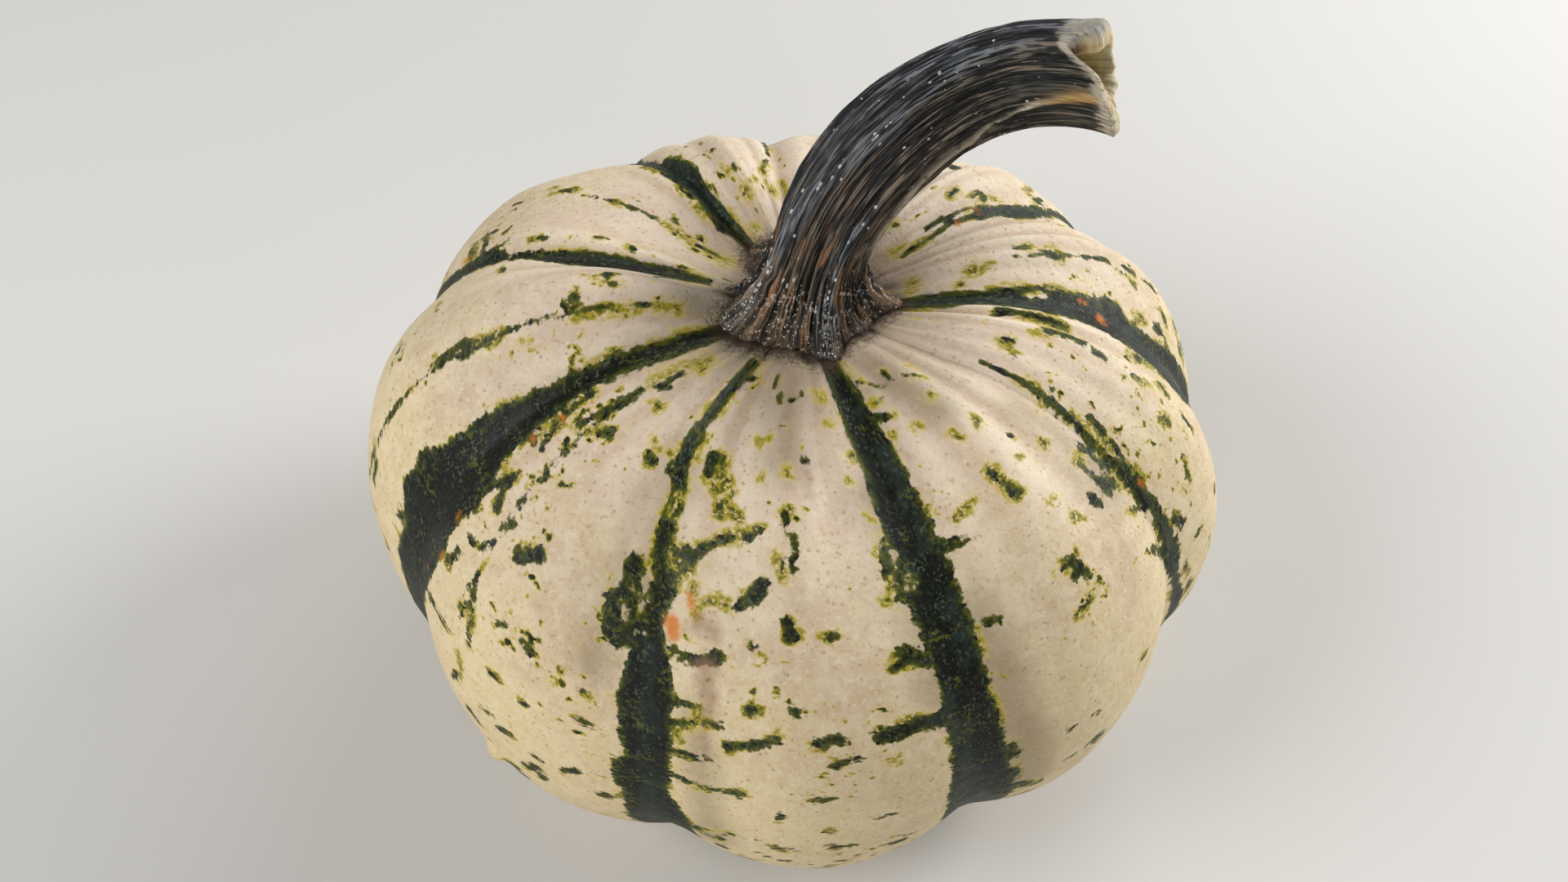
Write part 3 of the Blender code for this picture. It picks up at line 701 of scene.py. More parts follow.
def marks_depth(here, marks, strewn=()):
    """Depth inside the nearest of the marks that are listed by lobe, and of others."""
    strokes = list(strewn)
    for lobe, listed in marks.items():
        for start, down_from, end, down_to, *halves in listed:
            place_from, place_to = (100 * lobe + start) / 100, (100 * lobe + end) / 100
            strokes.append((place_from, down_from, place_to, down_to, halves[0] / 10, halves[-1] / 10))
    return np.maximum.reduce([stroke_depth(*here, stroke) for stroke in strokes])


def strewn_strokes():
    """Small flecks at random, longer along the fruit near the stalk and longer across it low down."""
    chance = np.random.default_rng(FLECK_SEED)
    strokes = []
    for place_from, place_to, down_from, down_to, count in STREWN_FLECKS:
        for _ in range(count):
            place, down = chance.uniform(place_from, place_to), chance.uniform(down_from, down_to)
            low = float(smooth((down - 35) / 30))
            length = chance.uniform(0.4, 3.2)
            across = chance.choice((-1, 1)) * length * (0.1 + 0.9 * low) / 35
            along = length * (1 - 0.8 * low)
            half = chance.uniform(0.25, 0.85)
            half_to = half * chance.uniform(0.4, 1)
            strokes.append((place, down, place + across, down + along, half, half_to))
    return strokes


def skin_grain(place, down):
    """Coordinates that stretch a pattern along the fruit near the stalk, and across it low down."""
    reach, along = np.interp(down, *GRAIN_REACH), np.interp(down, *GRAIN_STRETCH)
    return round_spots(place * EVEN_LOBE, reach, along) * MM


def rind_fields(place, down, lobe_width, length, spots):
    """What the rind's material reads. The length is down to the blossom end, and spots are in metres."""
    here = place, down, lobe_width
    stripes = [stripe_depth(*here, furrow, edges) for furrow, edges in STRIPES.items()]
    dark = np.maximum.reduce(stripes + [marks_depth(here, DARK_MARKS, strewn_strokes())])
    foot_mm = beyond_foot(spots) / MM
    near_stalk = down < SHADED_DOWN
    fields = {name: marks_depth(here, marks) for name, marks in FIELD_MARKS.items()}
    return fields | {
        "dark_mm": np.minimum(dark, -marks_depth(here, PALE_GAPS)),
        "rib": rib_heights(place, down),
        "low": np.interp(down, *LOW_DOWN),
        "raggedness": np.interp(down, *RAGGED_DOWN),
        "foot_mm": np.where(near_stalk, foot_mm, length - down - BLOSSOM_SCAR),
        # Distance that sets the painted shade round the stalk's foot
        "stalk_shade_mm": np.where(near_stalk, foot_mm * np.interp(place, *FOOT_SHADE_FADE), SHADED_DOWN),
        "grain": skin_grain(place, down),
    }


def make_rind(material):
    """The fruit's skin. Gives its middle and its surface, on which the stalk stands."""
    columns = LOBE_COUNT * FRUIT_COLUMNS
    mesh, row, column = ball_mesh("squash_rind", columns, FRUIT_RINGS)
    share_down = np.arange(FRUIT_RINGS + 1) / FRUIT_RINGS
    crowded = share_down - POLE_CROWDING * np.sin(math.tau * share_down) / math.tau
    place, rise = np.meshgrid(np.arange(columns) / FRUIT_COLUMNS, math.pi * (0.5 - crowded))
    points = rind_points(place, rise)
    steps = np.linalg.norm(np.diff(points, axis=0), axis=2) / MM
    down = np.vstack((np.zeros(columns), np.cumsum(steps, axis=0)))
    beside = np.roll(points, -1, axis=1) - np.roll(points, 1, axis=1)
    lobe_width = np.maximum(np.linalg.norm(beside, axis=2) / MM * FRUIT_COLUMNS / 2, NARROWEST_LOBE)
    normal = unit(np.cross(beside, np.gradient(points, axis=0)))
    normal *= np.sign((normal * points).sum(-1, keepdims=True))
    flat = points.reshape(-1, 3)
    middle = np.append((flat[:, :2].min(0) + flat[:, :2].max(0)) / 2, -REST_DROP)
    points = points + normal * rind_relief(place, down, points)[..., None] - middle
    points[..., 2] = np.maximum(points[..., 2], 0)
    placed = fitted(points[row, column], "fruit")
    here = (values[row, column] for values in (place, down, lobe_width))
    fields = rind_fields(*here, down[-1][column], placed[:, :2] - STALK_PATH[0][:2] + middle[:2])
    finished_piece(mesh, placed, fields, material, "fruit")
    surface = bmesh.new()
    surface.from_mesh(mesh)
    tree = BVHTree.FromBMesh(surface)
    surface.free()
    return middle, tree


# The stalk


def path_points(shares):
    """Points of the stalk's middle line, from its foot at 0 to its cut end at 1."""
    share, back = shares[:, None], 1 - shares[:, None]
    foot, first, second, end = STALK_PATH
    return back**3 * foot + 3 * share * back**2 * first + 3 * share**2 * back * second + share**3 * end


def stalk_frames(count):
    """Evenly spaced stations along the stalk: middle, the two directions across it, and ahead."""
    points = path_points(np.linspace(0, 1, count + 1))
    side, front, ahead = Vector((1, 0, 0)), Vector((0, 1, 0)), Vector((0, 0, 1))
    frames = []
    for step in range(count + 1):
        before, after = points[max(step - 1, 0)], points[min(step + 1, count)]
        tangent = Vector((0, 0, 1)) if step == 0 else Vector(after - before).normalized()
        turn = ahead.rotation_difference(tangent)
        side, front, ahead = turn @ side, turn @ front, tangent
        frames.append((points[step], side.copy(), front.copy(), tangent))
    return [np.array(values) for values in zip(*frames)]


def shaft_radius(place, share):
    """Radius of the stalk above its foot, at a place round it and a share along it."""
    swell = STALK_SWELL * bump_at(share, SWELL_SHARE, SWELL_LENGTH)
    groove = MAIN_GROOVE * (1 - np.abs(np.cos(math.pi * place / 2)) ** RIDGE_SHARPNESS)
    weak = WEAK_RIDGE * bump_at(np.abs(place % 2 - 1), 0, WEAK_RIDGE_WIDTH)
    return STALK_RADIUS + swell - groove + weak


def foot_edge(place):
    """Azimuth and reach of the edge of the stalk's foot, at places counted in toes."""
    toe = np.floor(place).astype(int)
    across = place - toe
    azimuth, length, draw_in = TOES[toe % LOBE_COUNT].T
    next_azimuth, next_length, _ = TOES[(toe + 1) % LOBE_COUNT].T
    turn = np.radians(azimuth) + np.radians((next_azimuth - azimuth) % 360) * across
    reach = length + (next_length - length) * smooth(across) - draw_in * np.sin(math.pi * across) ** 2
    return turn, reach


def beyond_foot(spots):
    """How far spots on the rind are beyond the edge of the stalk's foot, seen from its middle."""
    turn, reach = foot_edge(np.linspace(0, LOBE_COUNT, FOOT_EDGE_STEPS))
    edge = np.interp(np.arctan2(spots[:, 1], spots[:, 0]), turn, reach, period=math.tau)
    return np.linalg.norm(spots, axis=1) - edge


def stalk_angle(place, share, settled):
    """Angle round the stalk: its ridges start at the toes, and are evenly spaced above the foot."""
    even = FIRST_RIDGE + place * EVEN_LOBE
    toe = foot_edge(place)[0]
    toe = toe + math.tau * np.round((even - toe) / math.tau)
    return toe + (even - toe) * settled + STALK_TWIST * share


def round_bump(place, middle, width):
    """A soft hump at a place round the stalk."""
    return bump_at(lobes_off(place, middle), 0, width)


def on_ridge(place, share, ridge, width):
    """A soft hump where a fine ridge runs along the stalk."""
    return round_bump(place, np.interp(share, *ridge), width)


def fibre_heights(turn, along):
    """Fibres along the stalk: heights from -1 to 1, broken up along it, at turns in radians."""
    return sum(
        weight * (1 - 4 * np.abs(noise_at(round_spots(turn, strands / 2, along / length + start))))
        for strands, length, weight, start in FIBRE_LAYERS
    )


def stalk_fields(place, share, inside, length):
    """Where the stalk's material changes, apart from its fibres and its foot."""
    crest = on_ridge(place, share, SPECKLED_CREST, 0.22) * smooth((1 - share) / 0.3)
    buttress = on_ridge(place, share, FRONT_BUTTRESS, 0.2) * smooth((0.42 - share) / 0.2)
    beyond = (place - np.interp(share, *SPECKLED_CREST)) % LOBE_COUNT
    brown = smooth((beyond - 0.1) / 0.4) * smooth((3.4 - beyond) / 0.8) * smooth((0.8 - share) / 0.3)
    reach_back = np.interp(place, LIP_PLACES, LIP_REACHES, period=LOBE_COUNT)
    return {
        "share": share,
        "inside": inside,
        "crest": np.maximum(crest, buttress),
        "seam": on_ridge(place, share, LOWER_SEAM, 0.1) * smooth((share - 0.16) / 0.1),
        "gold": on_ridge(place, share, LOWER_SEAM, 0.18) * smooth((share - 0.86) / 0.07),
        "brown": brown,
        # Blue-grey on the upper side, partly a painted sheen of light from above
        "blue": smooth((beyond - 6.2) / 0.8) * np.interp(share, (0.1, 0.6), (0.15, 0.8)),
        "lip_mm": reach_back - (1 - share) * length / MM,
        # Painted shadow at the apex of the tear
        "apex": round_bump(place, 8.35, 0.35) * bump_at(inside, 0.22, 0.14),
        "amber": round_bump(place, 9.6, 0.8) * bump_at(inside, 0.2, 0.16),
    }


def make_stalk(material, middle, rind_surface):
    """The stalk: a toed foot, a ridged and fibrous shaft, and a torn cut end with a deep hollow."""
    rows = FOOT_ROWS + SHAFT_ROWS + END_ROWS
    mesh, row, column = ball_mesh("squash_stalk", LOBE_COUNT * STALK_COLUMNS, rows)
    step, place = rows - row, column / STALK_COLUMNS
    share = np.clip((step - FOOT_ROWS) / SHAFT_ROWS, 0, 1)
    inside = np.maximum(step - FOOT_ROWS - SHAFT_ROWS, 0) / END_ROWS
    station = np.rint(share * SHAFT_ROWS).astype(int)
    points, sides, fronts, aheads = stalk_frames(SHAFT_ROWS)
    length = np.linalg.norm(np.diff(points, axis=0), axis=1).sum()
    along, turn = share * length, place * EVEN_LOBE
    in_foot = np.maximum(1 - along / FOOT_HEIGHT, 0)
    angle = stalk_angle(place, share, smooth(1 - in_foot))
    fibres = fibre_heights(turn, along)
    lumps = noise_at(round_spots(turn, LUMPS_ROUND, along / LUMP_LENGTH))

    shaft = shaft_radius(place, share)
    radius = shaft + (foot_edge(place)[1] - shaft) * in_foot**FOOT_FLARE_POWER
    seam = on_ridge(place, share, LOWER_SEAM, 0.12) * smooth((share - 0.12) / 0.1)
    uneven = FIBRE_HEIGHT * fibres * (1 - 0.4 * in_foot) + FOOT_LUMP * lumps * in_foot
    uneven += CREST_HEIGHT * on_ridge(place, share, SPECKLED_CREST, 0.26) + SEAM_HEIGHT * seam
    uneven += TOP_LIP_BULGE * round_bump(place, 7.2, 1.1) * bump_at(share, 1, 0.035)
    radius = radius + uneven * (1 - inside) * MM
    radius = np.where(step < FOOT_ROWS, radius * step / FOOT_ROWS, radius)
    wall = np.clip(inside / RIM_SHARE, 0, 1)
    bowl = np.clip((inside - RIM_SHARE) / (1 - RIM_SHARE), 0, 1)
    radius = radius + (HOLLOW_RADIUS - radius) * smooth(wall)
    radius = np.where(inside > RIM_SHARE, HOLLOW_RADIUS * (1 - bowl), radius)
    spread = np.cos(angle)[:, None] * sides[station] + np.sin(angle)[:, None] * fronts[station]
    placed = points[station] + spread * radius[:, None] - middle

    foot_floor = STALK_PATH[0][2] - middle[2]
    for index in np.flatnonzero(in_foot > 0):
        above = Vector((placed[index][0], placed[index][1], 2 * FRUIT_RADIUS))
        seat = rind_surface.ray_cast(above, Vector((0, 0, -1)))[0].z + SEAT_GAP
        placed[index][2] += (seat - foot_floor) * in_foot[index] ** 2
    knobs = (lumps + 0.35 * fibres) * smooth(in_foot / 0.4) * (1 - in_foot**8) * (step >= FOOT_ROWS)
    placed[:, 2] += FOOT_LUMP * knobs * MM

    near_cut = smooth(1 - (1 - share) / CUT_LENGTH)
    slant = CUT_SLANT * (STALK_RADIUS + radius * np.cos((place - CUT_TIP) * EVEN_LOBE)) * near_cut
    tear = np.interp(place, TORN_PLACES, TORN_DEPTHS, period=LOBE_COUNT) * (1 - bowl) * near_cut
    wave = RIM_WAVE * noise_at(round_spots(turn, 3, 5)) * near_cut**4 * (1 - bowl)
    lip = (RIM_ROUNDING * np.sin(math.pi * wall) * (inside > 0) + wave) * MM
    hollow = HOLLOW_DEPTH * smooth(bowl * HOLLOW_STEEPNESS)
    placed += aheads[station] * (slant + lip - tear - hollow)[:, None]

    fields = stalk_fields(place, share, inside, length)
    fields |= {"fibre": fibres, "toe": in_foot, "strand": round_spots(turn, STALK_RADIUS, along)}
    finished_piece(mesh, fitted(placed, "stalk"), fields, material, "stalk")


# Finishes


class Finish:
    """A node material in the making, and the colour that it has so far."""

    def __init__(self, name, colour):
        self.material = bpy.data.materials.new(name)
        self.material.use_nodes = True
        self.tree = self.material.node_tree
        self.shader = self.tree.nodes["Principled BSDF"]
        self.colour = colour

    def node(self, kind, inputs, **settings):
        """A new node. An input takes another node's output, or a value."""
        made = self.tree.nodes.new(kind)
        for name, value in settings.items():
            setattr(made, name, value)
        for name, value in inputs.items():
            self.feed(made.inputs[name], value)
        return made

    def feed(self, socket, value):
        """Links a socket to another node's, or sets it to a value."""
        if isinstance(value, bpy.types.NodeSocket):
            self.tree.links.new(value, socket)
        else:
            socket.default_value = value

    def body(self):
        """The piece's own coordinates."""
        return self.node("ShaderNodeTexCoord", {}).outputs["Object"]

    def field(self, name, output="Fac"):
        """A number that is stored at the mesh's points."""
        return self.node("ShaderNodeAttribute", {}, attribute_name=name).outputs[output]

    def stretched(self, name, along):
        """A stored vector with its last part scaled: patterns are longer where that is less than 1."""
        inputs = {"Vector": self.field(name, "Vector"), "Scale": (1, 1, along)}
        return self.node("ShaderNodeMapping", inputs).outputs["Vector"]

    def clouds(self, vector, scale, detail=2, roughness=0.5, distortion=0):
        """Soft noise, mostly from 0.3 to 0.7."""
        inputs = {"Vector": vector, "Scale": scale, "Detail": detail, "Roughness": roughness}
        inputs["Distortion"] = distortion
        return self.node("ShaderNodeTexNoise", inputs).outputs["Fac"]

    def cells(self, vector, scale):
        """Distance from the middle of the nearest cell, and that cell's own random colour."""
        made = self.node("ShaderNodeTexVoronoi", {"Vector": vector, "Scale": scale})
        return made.outputs["Distance"], made.outputs["Color"]

    def dots(self, vector, scale, least):
        """Round dots of many sizes, in the cells whose random tone is above the least one."""
        distance, tint = self.cells(vector, scale)
        size = self.band(tint, least, self.add(least, 0.14), 0, 0.5)
        return self.band(self.chain("SUBTRACT", size, distance), 0, 0.12)

    def chain(self, operation, *values):
        """Takes values two by two through one operation."""
        total, *others = values
        for value in others:
            total = self.node("ShaderNodeMath", {0: total, 1: value}, operation=operation).outputs[0]
        return total

    def add(self, *values):
        return self.chain("ADD", *values)

    def times(self, *values):
        return self.chain("MULTIPLY", *values)

    def most(self, *values):
        return self.chain("MAXIMUM", *values)

    def sway(self, value, width, middle=0):
        """Turns a noise round 0.5 into one round a middle that is as many times wider."""
        inputs = {0: value, 1: width, 2: middle - width / 2}
        return self.node("ShaderNodeMath", inputs, operation="MULTIPLY_ADD").outputs[0]

    def band(self, value, low, high, start=0, end=1):
        """Eases from start to end as a value goes from low to high."""
        inputs = {"Value": value, "From Min": low, "From Max": high, "To Min": start, "To Max": end}
        return self.node("ShaderNodeMapRange", inputs, interpolation_type="SMOOTHSTEP").outputs["Result"]

    def mix(self, share, below, above):
        """Lays one colour over another."""
        made = self.node("ShaderNodeMix", {"Factor": share}, data_type="RGBA")
        first, second = (socket for socket in made.inputs if socket.type == "RGBA")
        self.feed(first, below)
        self.feed(second, above)
        return next(socket for socket in made.outputs if socket.type == "RGBA")

    def cover(self, colour, *shares):
        """Covers what there is so far by the shares, multiplied."""
        self.colour = self.mix(self.times(*shares), self.colour, colour)

    def lay(self, colour, value, low, high, most=1):
        """Covers what there is so far: not at all where a value is low, and the most where it is high."""
        self.cover(colour, self.band(value, low, high, 0, most))

    def relief(self, height, distance, strength=1):
        """Fine relief, added to what the shader already has."""
        inputs = {"Height": height, "Distance": distance, "Strength": strength}
        for link in self.shader.inputs["Normal"].links:
            inputs["Normal"] = link.from_socket
        self.feed(self.shader.inputs["Normal"], self.node("ShaderNodeBump", inputs).outputs["Normal"])

    def finished(self, roughness):
        """The material, with its colour and roughness in its shader."""
        self.feed(self.shader.inputs["Base Color"], self.colour)
        self.feed(self.shader.inputs["Roughness"], roughness)
        return self.material


def shade(red, green, blue):
    """A colour as a screen shows it, from 0 to 255, as a shader's colour."""
    parts = [part / 255 for part in (red, green, blue)]
    parts = [part / 12.92 if part <= 0.04045 else ((part + 0.055) / 1.055) ** 2.4 for part in parts]
    return (*parts, 1)


CREAM = shade(222, 203, 166)
PALE_CREAM = shade(240, 226, 197)
TAN = shade(188, 158, 124)
BLUSH = shade(211, 187, 157)
PINK_CREAM = shade(233, 216, 202)
BUTTER = shade(226, 205, 146)
PAINTED_SHADE = shade(136, 118, 90)
PORE = shade(146, 114, 82)
FRECKLE = shade(192, 150, 108)
DEEP_GREEN = shade(12, 14, 8)
MOSS = shade(24, 30, 15)
SLATE_GREEN = shade(46, 58, 50)
LEAF_GREEN = shade(54, 62, 12)
OLIVE = shade(98, 98, 24)
LIME = shade(172, 156, 50)
STRAW_YELLOW = shade(224, 200, 112)
DASH = shade(102, 114, 98)
ORANGE = shade(216, 122, 26)
SCUFF = shade(150, 112, 92)
DUST = shade(78, 64, 52)


def rind_green(rind, grain, dark, border_grain, vein, coarse):
    """Deep green of the stripes: mossy, with a bluish bloom partly painted as sheen, a brighter edge, and
    pale nets and dashes.
    """
    bloom_and_sheen = rind.clouds(rind.stretched("grain", 0.22), 300, 3, 0.6)
    green = rind.mix(rind.band(rind.clouds(grain, 1300, 3, 0.65), 0.42, 0.62), DEEP_GREEN, MOSS)
    # Slate: the bluish bloom, partly a painted sheen
    slate = rind.add(rind.field("slate_mm"), rind.sway(bloom_and_sheen, 9))
    slate = rind.most(rind.band(slate, -0.8, 0.8, 0, 0.65), rind.band(bloom_and_sheen, 0.55, 0.75, 0, 0.2))
    green = rind.mix(rind.times(slate, rind.band(border_grain, 0.36, 0.56, 0.35, 1)), green, SLATE_GREEN)
    edge = rind.times(rind.band(dark, 1, 0.2), rind.band(border_grain, 0.36, 0.5))
    green = rind.mix(edge, green, LEAF_GREEN)
    edge = rind.times(rind.band(dark, 0.45, 0, 0, 0.8), rind.band(border_grain, 0.4, 0.5))
    green = rind.mix(edge, green, OLIVE)
    net = rind.times(rind.band(vein, 0.53, 0.6), rind.band(rind.clouds(grain, 210), 0.5, 0.6), 0.6)
    green = rind.mix(net, green, OLIVE)
    dashes = rind.band(rind.clouds(rind.stretched("grain", 0.5), 3000, 1), 0.56, 0.68)
    return rind.mix(rind.times(dashes, rind.band(coarse, 0.4, 0.6, 0.1, 0.5)), green, DASH)


def make_rind_finish():
    """Satin rind: mottled cream with painted shade, ragged green marks with a yellow-green border, and
    dust at the stalk.
    """
    rind = Finish("squash_rind", CREAM)
    body, grain = rind.body(), rind.field("grain", "Vector")
    coarse = rind.clouds(grain, 420)
    medium = rind.clouds(grain, 1000, 2, 0.6)
    fine = rind.clouds(grain, 2600, 2, 0.6)
    broad = rind.clouds(body, 55)
    patchy = rind.clouds(body, 420, 3, 0.6, 0.4)
    streak = rind.clouds(rind.stretched("grain", 0.22), 900, 3, 0.6)
    low, dark_mm, raggedness = (rind.field(name) for name in ("low", "dark_mm", "raggedness"))

    # Cream skin, with painted shade and highlight on the faint ribs, and painted shade round the stalk and
    # by the furrows
    rind.lay(BLUSH, broad, 0.38, 0.62)
    rind.lay(BUTTER, rind.clouds(body, 120, 2, 0.5, 0.3), 0.5, 0.68, 0.35)
    rind.lay(PALE_CREAM, patchy, 0.36, 0.66, 0.5)
    rind.lay(TAN, streak, 0.5, 0.75, 0.35)
    rind.lay(TAN, rind.clouds(grain, 1900, 3, 0.7), 0.54, 0.72, 0.4)
    rind.lay(PINK_CREAM, low, 0.6, 0, 0.65)
    rind.lay(BUTTER, low, 0.4, 1, 0.4)
    # Painted shade in the valleys of the faint ribs near the stalk, and painted highlight on their crests
    rib = rind.add(rind.field("rib"), rind.sway(streak, 1))
    rind.lay(TAN, rib, 0.1, -0.8, 0.4)
    rind.lay(PALE_CREAM, rib, 0.15, 0.8, 0.5)
    distance, tint = rind.cells(body, 900)
    pore = rind.times(rind.band(distance, 0.1, 0.24, 1, 0), rind.band(tint, 0.5, 0.62))
    rind.cover(PORE, pore, 0.45)
    freckle = rind.clouds(body, 1500, 2, 0.6)
    rind.lay(FRECKLE, freckle, 0.6, 0.7, 0.55)
    rind.lay(PALE_CREAM, freckle, 0.4, 0.3, 0.5)
    # Painted shade round the stalk's foot, reaching furthest at the front
    rind.lay(PAINTED_SHADE, rind.add(rind.field("stalk_shade_mm"), rind.sway(streak, 12)), 26, -1, 0.64)
    # Painted shade on the flanks beside the furrows and near the stalk
    rind.lay(PAINTED_SHADE, rind.add(rind.field("shade_mm"), rind.sway(broad, 6)), -3.5, 2, 0.55)

    # Yellow-green borders, patches and tiny flecks
    border_grain = rind.clouds(rind.stretched("grain", 0.75), 840)
    border_width = rind.band(rind.clouds(grain, 230), 0.42, 0.64, -1.1, 0.6)
    border = rind.add(dark_mm, border_width, rind.sway(border_grain, 1.6))
    yellow = rind.add(rind.field("yellow_mm"), rind.sway(border_grain, 2.4, 0.1))
    near_dark = rind.band(dark_mm, -5.5, -1, -1.3, 0)
    crowded = rind.sway(rind.clouds(body, 60, 1), 6, -0.2)
    tiny = rind.add(rind.sway(rind.clouds(grain, 620), 9, -1.8), crowded, near_dark)
    yellow = rind.most(rind.times(rind.most(yellow, border), raggedness), rind.add(tiny, 0.3))
    vein = rind.clouds(grain, 1500, 3, 0.6)
    rind.lay(STRAW_YELLOW, yellow, -0.65, 0.4, 0.6)
    rind.cover(LIME, rind.band(yellow, -0.3, 0.2), rind.band(vein, 0.38, 0.54))
    rind.cover(OLIVE, rind.band(yellow, 0, 0.5), rind.band(fine, 0.42, 0.56))
    rind.cover(LEAF_GREEN, rind.band(medium, 0.48, 0.57), rind.band(yellow, 0.3, 0.8))

    # Green stripes and marks, orange spots, dull skin, and dust at the stalk and the blossom end
    ragged = rind.add(rind.sway(coarse, 1.3), rind.sway(medium, 1.6), rind.sway(fine, 0.5))
    ragged = rind.times(ragged, raggedness)
    dark = rind.most(rind.add(dark_mm, ragged), rind.add(tiny, -0.25))
    dark_share = rind.band(dark, -0.16, 0.14)
    rind.cover(rind_green(rind, grain, dark, border_grain, vein, coarse), dark_share)
    rind.lay(ORANGE, rind.add(rind.field("orange_mm"), rind.times(ragged, 0.7)), -0.5, 0.5, 0.88)
    rind.lay(SCUFF, rind.add(rind.field("scuff_mm"), ragged), -0.6, 1.4, 0.6)
    fuzz = rind.clouds(body, 2400, 3, 0.7)
    rind.lay(DUST, rind.add(rind.field("foot_mm"), rind.sway(fuzz, 7)), 2.6, -0.4, 0.9)

    rind.feed(rind.shader.inputs["Specular IOR Level"], 0.22)
    rind.relief(patchy, 0.0003, 0.5)
    rind.relief(rind.clouds(body, 2200, 2, 0.6), 0.00008, 0.6)
    rind.relief(pore, -0.00006, 0.6)
    rind.relief(dark_share, -0.00008, 0.6)
    return rind.finished(rind.band(coarse, 0.3, 0.7, 0.46, 0.6))


PITCH = shade(8, 8, 7)
BARK = shade(40, 36, 31)
BROWN = shade(64, 53, 42)
SLATE = shade(52, 58, 68)
MOSSY = shade(50, 54, 44)
GREIGE = shade(132, 118, 100)
FROST = shade(134, 140, 148)
STRAW = shade(158, 128, 94)
RUST = shade(156, 104, 62)
GOLD = shade(178, 138, 74)
SEAM_PALE = shade(204, 190, 166)
CHALK = shade(224, 221, 210)
FLESH = shade(224, 211, 162)
RAW = shade(184, 174, 156)
AMBER = shade(176, 122, 80)
SHADOW_FLESH = shade(78, 46, 26)


def cut_flesh(wood, body, inside, broken):
    """Flesh in the cut end's hollow: straw-coloured and mottled, brown where it is torn, and darkened by
    painted shadow where it is deep and at the apex of the tear.
    """
    mottle = wood.clouds(body, 700, 3, 0.6)
    flesh = wood.mix(wood.band(mottle, 0.48, 0.64, 0, 0.7), FLESH, RAW)
    flesh = wood.mix(wood.band(wood.clouds(body, 420), 0.54, 0.66, 0, 0.5), flesh, AMBER)
    # Painted shadow deep in the hollow, and at the apex of the tear
    flesh = wood.mix(wood.band(inside, 0.55, 0.85), flesh, SHADOW_FLESH)
    apex = wood.times(wood.field("apex"), wood.band(broken, 0.3, 0.5, 0.7, 1))
    flesh = wood.mix(apex, flesh, SHADOW_FLESH)
    return wood.mix(wood.times(wood.field("amber"), wood.band(mottle, 0.4, 0.56, 0.3, 1)), flesh, AMBER)


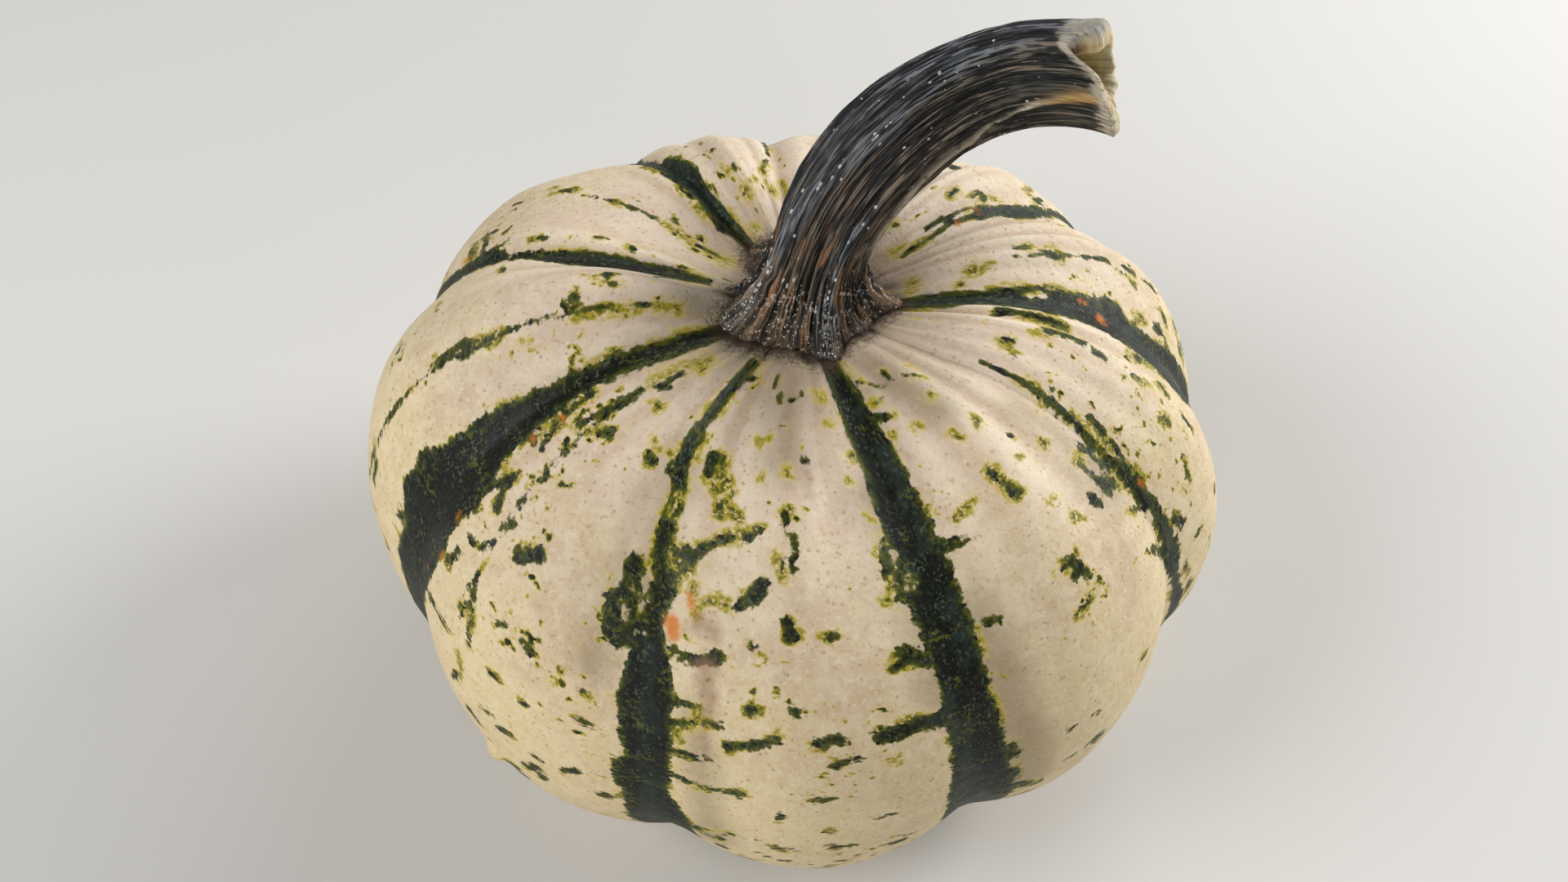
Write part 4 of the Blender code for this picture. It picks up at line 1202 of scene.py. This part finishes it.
def make_stalk_finish():
    """Dry stalk: pale fibres over dark grooves, partly painted highlight and shade, blue-grey above,
    partly painted sheen, tan at the foot, with chalky specks.
    """
    wood = Finish("squash_stalk", BARK)
    body, strand = wood.body(), wood.stretched("strand", 0.08)
    thread = wood.clouds(strand, 2300, 3, 0.65)
    hair = wood.clouds(wood.stretched("strand", 0.05), 4600, 2, 0.6)
    wide = wood.clouds(strand, 800)
    strip = wood.clouds(wood.stretched("strand", 0.14), 1300, 1)
    broken = wood.clouds(wood.stretched("strand", 0.35), 1500, 3, 0.6)
    fields = ("toe", "share", "blue", "brown", "crest")
    foot, share, blue, brown, crest = (wood.field(name) for name in fields)
    height = wood.add(wood.times(wood.field("fibre"), 0.5), wood.sway(thread, 4.4), wood.sway(hair, 5))

    # Tones of the bark, dark between the fibres and light on them: partly painted shade in the grooves and
    # painted highlight on the fibres
    wood.cover(BROWN, brown)
    # Blue-grey upper side with frosty fibres, partly a painted sheen
    wood.cover(SLATE, blue, wood.band(wide, 0.4, 0.56, 0.2, 0.9))
    wood.cover(MOSSY, wood.band(share, 0.7, 0.9, 0, 0.7), wood.band(blue, 0, 1, 1, 0))
    wood.lay(PITCH, height, 0.3, -0.3)
    light = wood.mix(wood.band(foot, 0.08, 0.45), wood.mix(blue, GREIGE, FROST), STRAW)
    wood.cover(light, wood.band(height, 0.3, 0.7, 0, 0.9), wood.band(wide, 0.4, 0.54, 0.3, 1))

    # Tan strips and dark gaps at the foot, rusty strands, frosted crest and pale seam
    warm = wood.mix(wood.band(wide, 0.5, 0.6), STRAW, RUST)
    strips = wood.times(wood.band(strip, 0.52, 0.6, 0, 0.75), wood.band(height, -0.8, -0.2))
    wood.cover(warm, strips, wood.band(foot, 0, 0.35))
    gap = wood.times(wood.band(strip, 0.5, 0.44, 0, 0.9), wood.band(thread, 0.56, 0.48))
    wood.cover(PITCH, gap, wood.band(foot, 0, 0.4))
    wood.cover(RUST, wood.band(strip, 0.57, 0.64, 0, 0.8), wood.band(share, 0.1, 0.42, 1, 0), brown)
    wood.cover(FROST, crest, wood.band(hair, 0.45, 0.56), wood.band(broken, 0.36, 0.5, 0.3, 0.9))
    wood.cover(SEAM_PALE, wood.field("seam"), wood.band(broken, 0.34, 0.5, 0.3, 1))
    wood.cover(GOLD, wood.field("gold"), wood.band(thread, 0.38, 0.52))

    # Crumbs and dust at the hem of the foot
    grit = wood.clouds(body, 2300, 3, 0.6)
    crumbs = wood.times(wood.band(grit, 0.46, 0.58), wood.band(foot, 0.6, 0.95, 0, 0.7))
    wood.cover(wood.mix(wood.band(wood.clouds(body, 900), 0.5, 0.66), BROWN, STRAW), crumbs)
    wood.lay(DUST, wood.add(foot, wood.sway(grit, 0.5)), 0.86, 1, 0.6)

    # Chalky specks along the crest and all over the foot
    where = wood.times(crest, wood.band(foot, 0, 0.4, 0.42, 1))
    where = wood.most(where, wood.band(foot, 0.05, 0.5, 0, 0.5))
    least = wood.band(wood.times(where, wood.band(broken, 0.32, 0.55, 0.6, 1)), 0, 1, 0.82, 0.48)
    speck = wood.dots(wood.stretched("strand", 0.5), 3500, least)
    speck = wood.times(speck, wood.band(foot, 0.5, 0.9, 1, 0))
    speck = wood.most(speck, wood.times(wood.dots(body, 3600, least), wood.band(foot, 0.3, 0.7)))
    wood.cover(CHALK, speck, 0.9)

    # The cut end: its pale lip, and the flesh inside
    raw = wood.mix(wood.band(wood.clouds(body, 1200, 3, 0.7), 0.42, 0.62, 0, 0.6), RAW, FROST)
    raw = wood.mix(wood.band(blue, 0, 0.6, 0.7, 0), raw, SEAM_PALE)
    wood.lay(raw, wood.add(wood.field("lip_mm"), wood.sway(broken, 3.6)), -0.4, 0.7, 0.92)
    inside = wood.add(wood.field("inside"), wood.sway(broken, 0.16))
    wood.lay(cut_flesh(wood, body, inside, broken), inside, 0.05, 0.16)

    wood.relief(thread, 0.0005)
    wood.relief(hair, 0.00014, 0.8)
    wood.relief(crumbs, 0.0002, 0.6)
    wood.relief(speck, 0.0001, 0.6)
    return wood.finished(wood.band(broken, 0.3, 0.7, 0.55, 0.8))


# Floor, light and camera

FLOOR_SIZE = 3
FLOOR_PALE = shade(214, 212, 208)
FLOOR_LIGHT = shade(220, 218, 214)

# Soft lights: name, place, size and power in watts; each looks at the middle of the fruit
LIGHTS = (
    ("left_softbox", (-0.45, -0.14, 0.46), 0.40, 2.4),
    ("right_softbox", (0.56, 0.22, 0.34), 0.40, 4.1),
    ("front_softbox", (-0.20, -0.64, 0.24), 0.50, 1.1),
    ("back_softbox", (0.30, 0.60, 0.42), 0.40, 1.5),
)
SKY = (0.95, 0.97, 1, 1)
SKY_STRENGTH = 0.11
LOOK_AT = Vector((0, 0, 0.04))


def make_floor():
    """A plain pale floor that the squash stands on."""
    plane = bmesh.new()
    bmesh.ops.create_grid(plane, x_segments=1, y_segments=1, size=FLOOR_SIZE)
    mesh = bpy.data.meshes.new("floor")
    plane.to_mesh(mesh)
    plane.free()
    floor = bpy.data.objects.new("floor", mesh)
    bpy.context.scene.collection.objects.link(floor)
    paper = Finish("floor", FLOOR_PALE)
    paper.lay(FLOOR_LIGHT, paper.clouds(paper.body(), 3), 0, 1)
    mesh.materials.append(paper.finished(0.9))


def make_lights():
    """Soft studio light from above and from the sides."""
    for name, place, size, power in LIGHTS:
        data = bpy.data.lights.new(name, "AREA")
        data.shape = "DISK"
        data.size = size
        data.energy = power
        light = bpy.data.objects.new(name, data)
        light.location = place
        light.rotation_euler = (LOOK_AT - light.location).to_track_quat("-Z", "Y").to_euler()
        bpy.context.scene.collection.objects.link(light)
    world = bpy.data.worlds.new("studio")
    world.use_nodes = True
    sky = world.node_tree.nodes["Background"]
    sky.inputs["Color"].default_value = SKY
    sky.inputs["Strength"].default_value = SKY_STRENGTH
    bpy.context.scene.world = world
    bpy.context.scene.view_settings.view_transform = "Standard"


def make_camera(middle):
    """The camera, at the side and height from which the squash is seen."""
    back = Vector((0, -math.cos(VIEW_RISE), math.sin(VIEW_RISE)))
    level = Vector((1, 0, 0))
    right = level * math.cos(VIEW_ROLL) + back.cross(level) * math.sin(VIEW_ROLL)
    turned = Matrix((right, back.cross(right), back)).transposed().to_4x4()
    data = bpy.data.cameras.new("camera")
    data.lens, data.sensor_width = LENS, SENSOR
    data.shift_x, data.shift_y = SHIFT
    data.clip_start = NEAREST_SEEN
    camera = bpy.data.objects.new("camera", data)
    camera.matrix_world = Matrix.Translation(back * VIEW_DISTANCE - Vector(middle)) @ turned
    bpy.context.scene.collection.objects.link(camera)
    bpy.context.scene.camera = camera


middle, rind_surface = make_rind(make_rind_finish())
make_stalk(make_stalk_finish(), middle, rind_surface)
make_floor()
make_lights()
make_camera(middle)
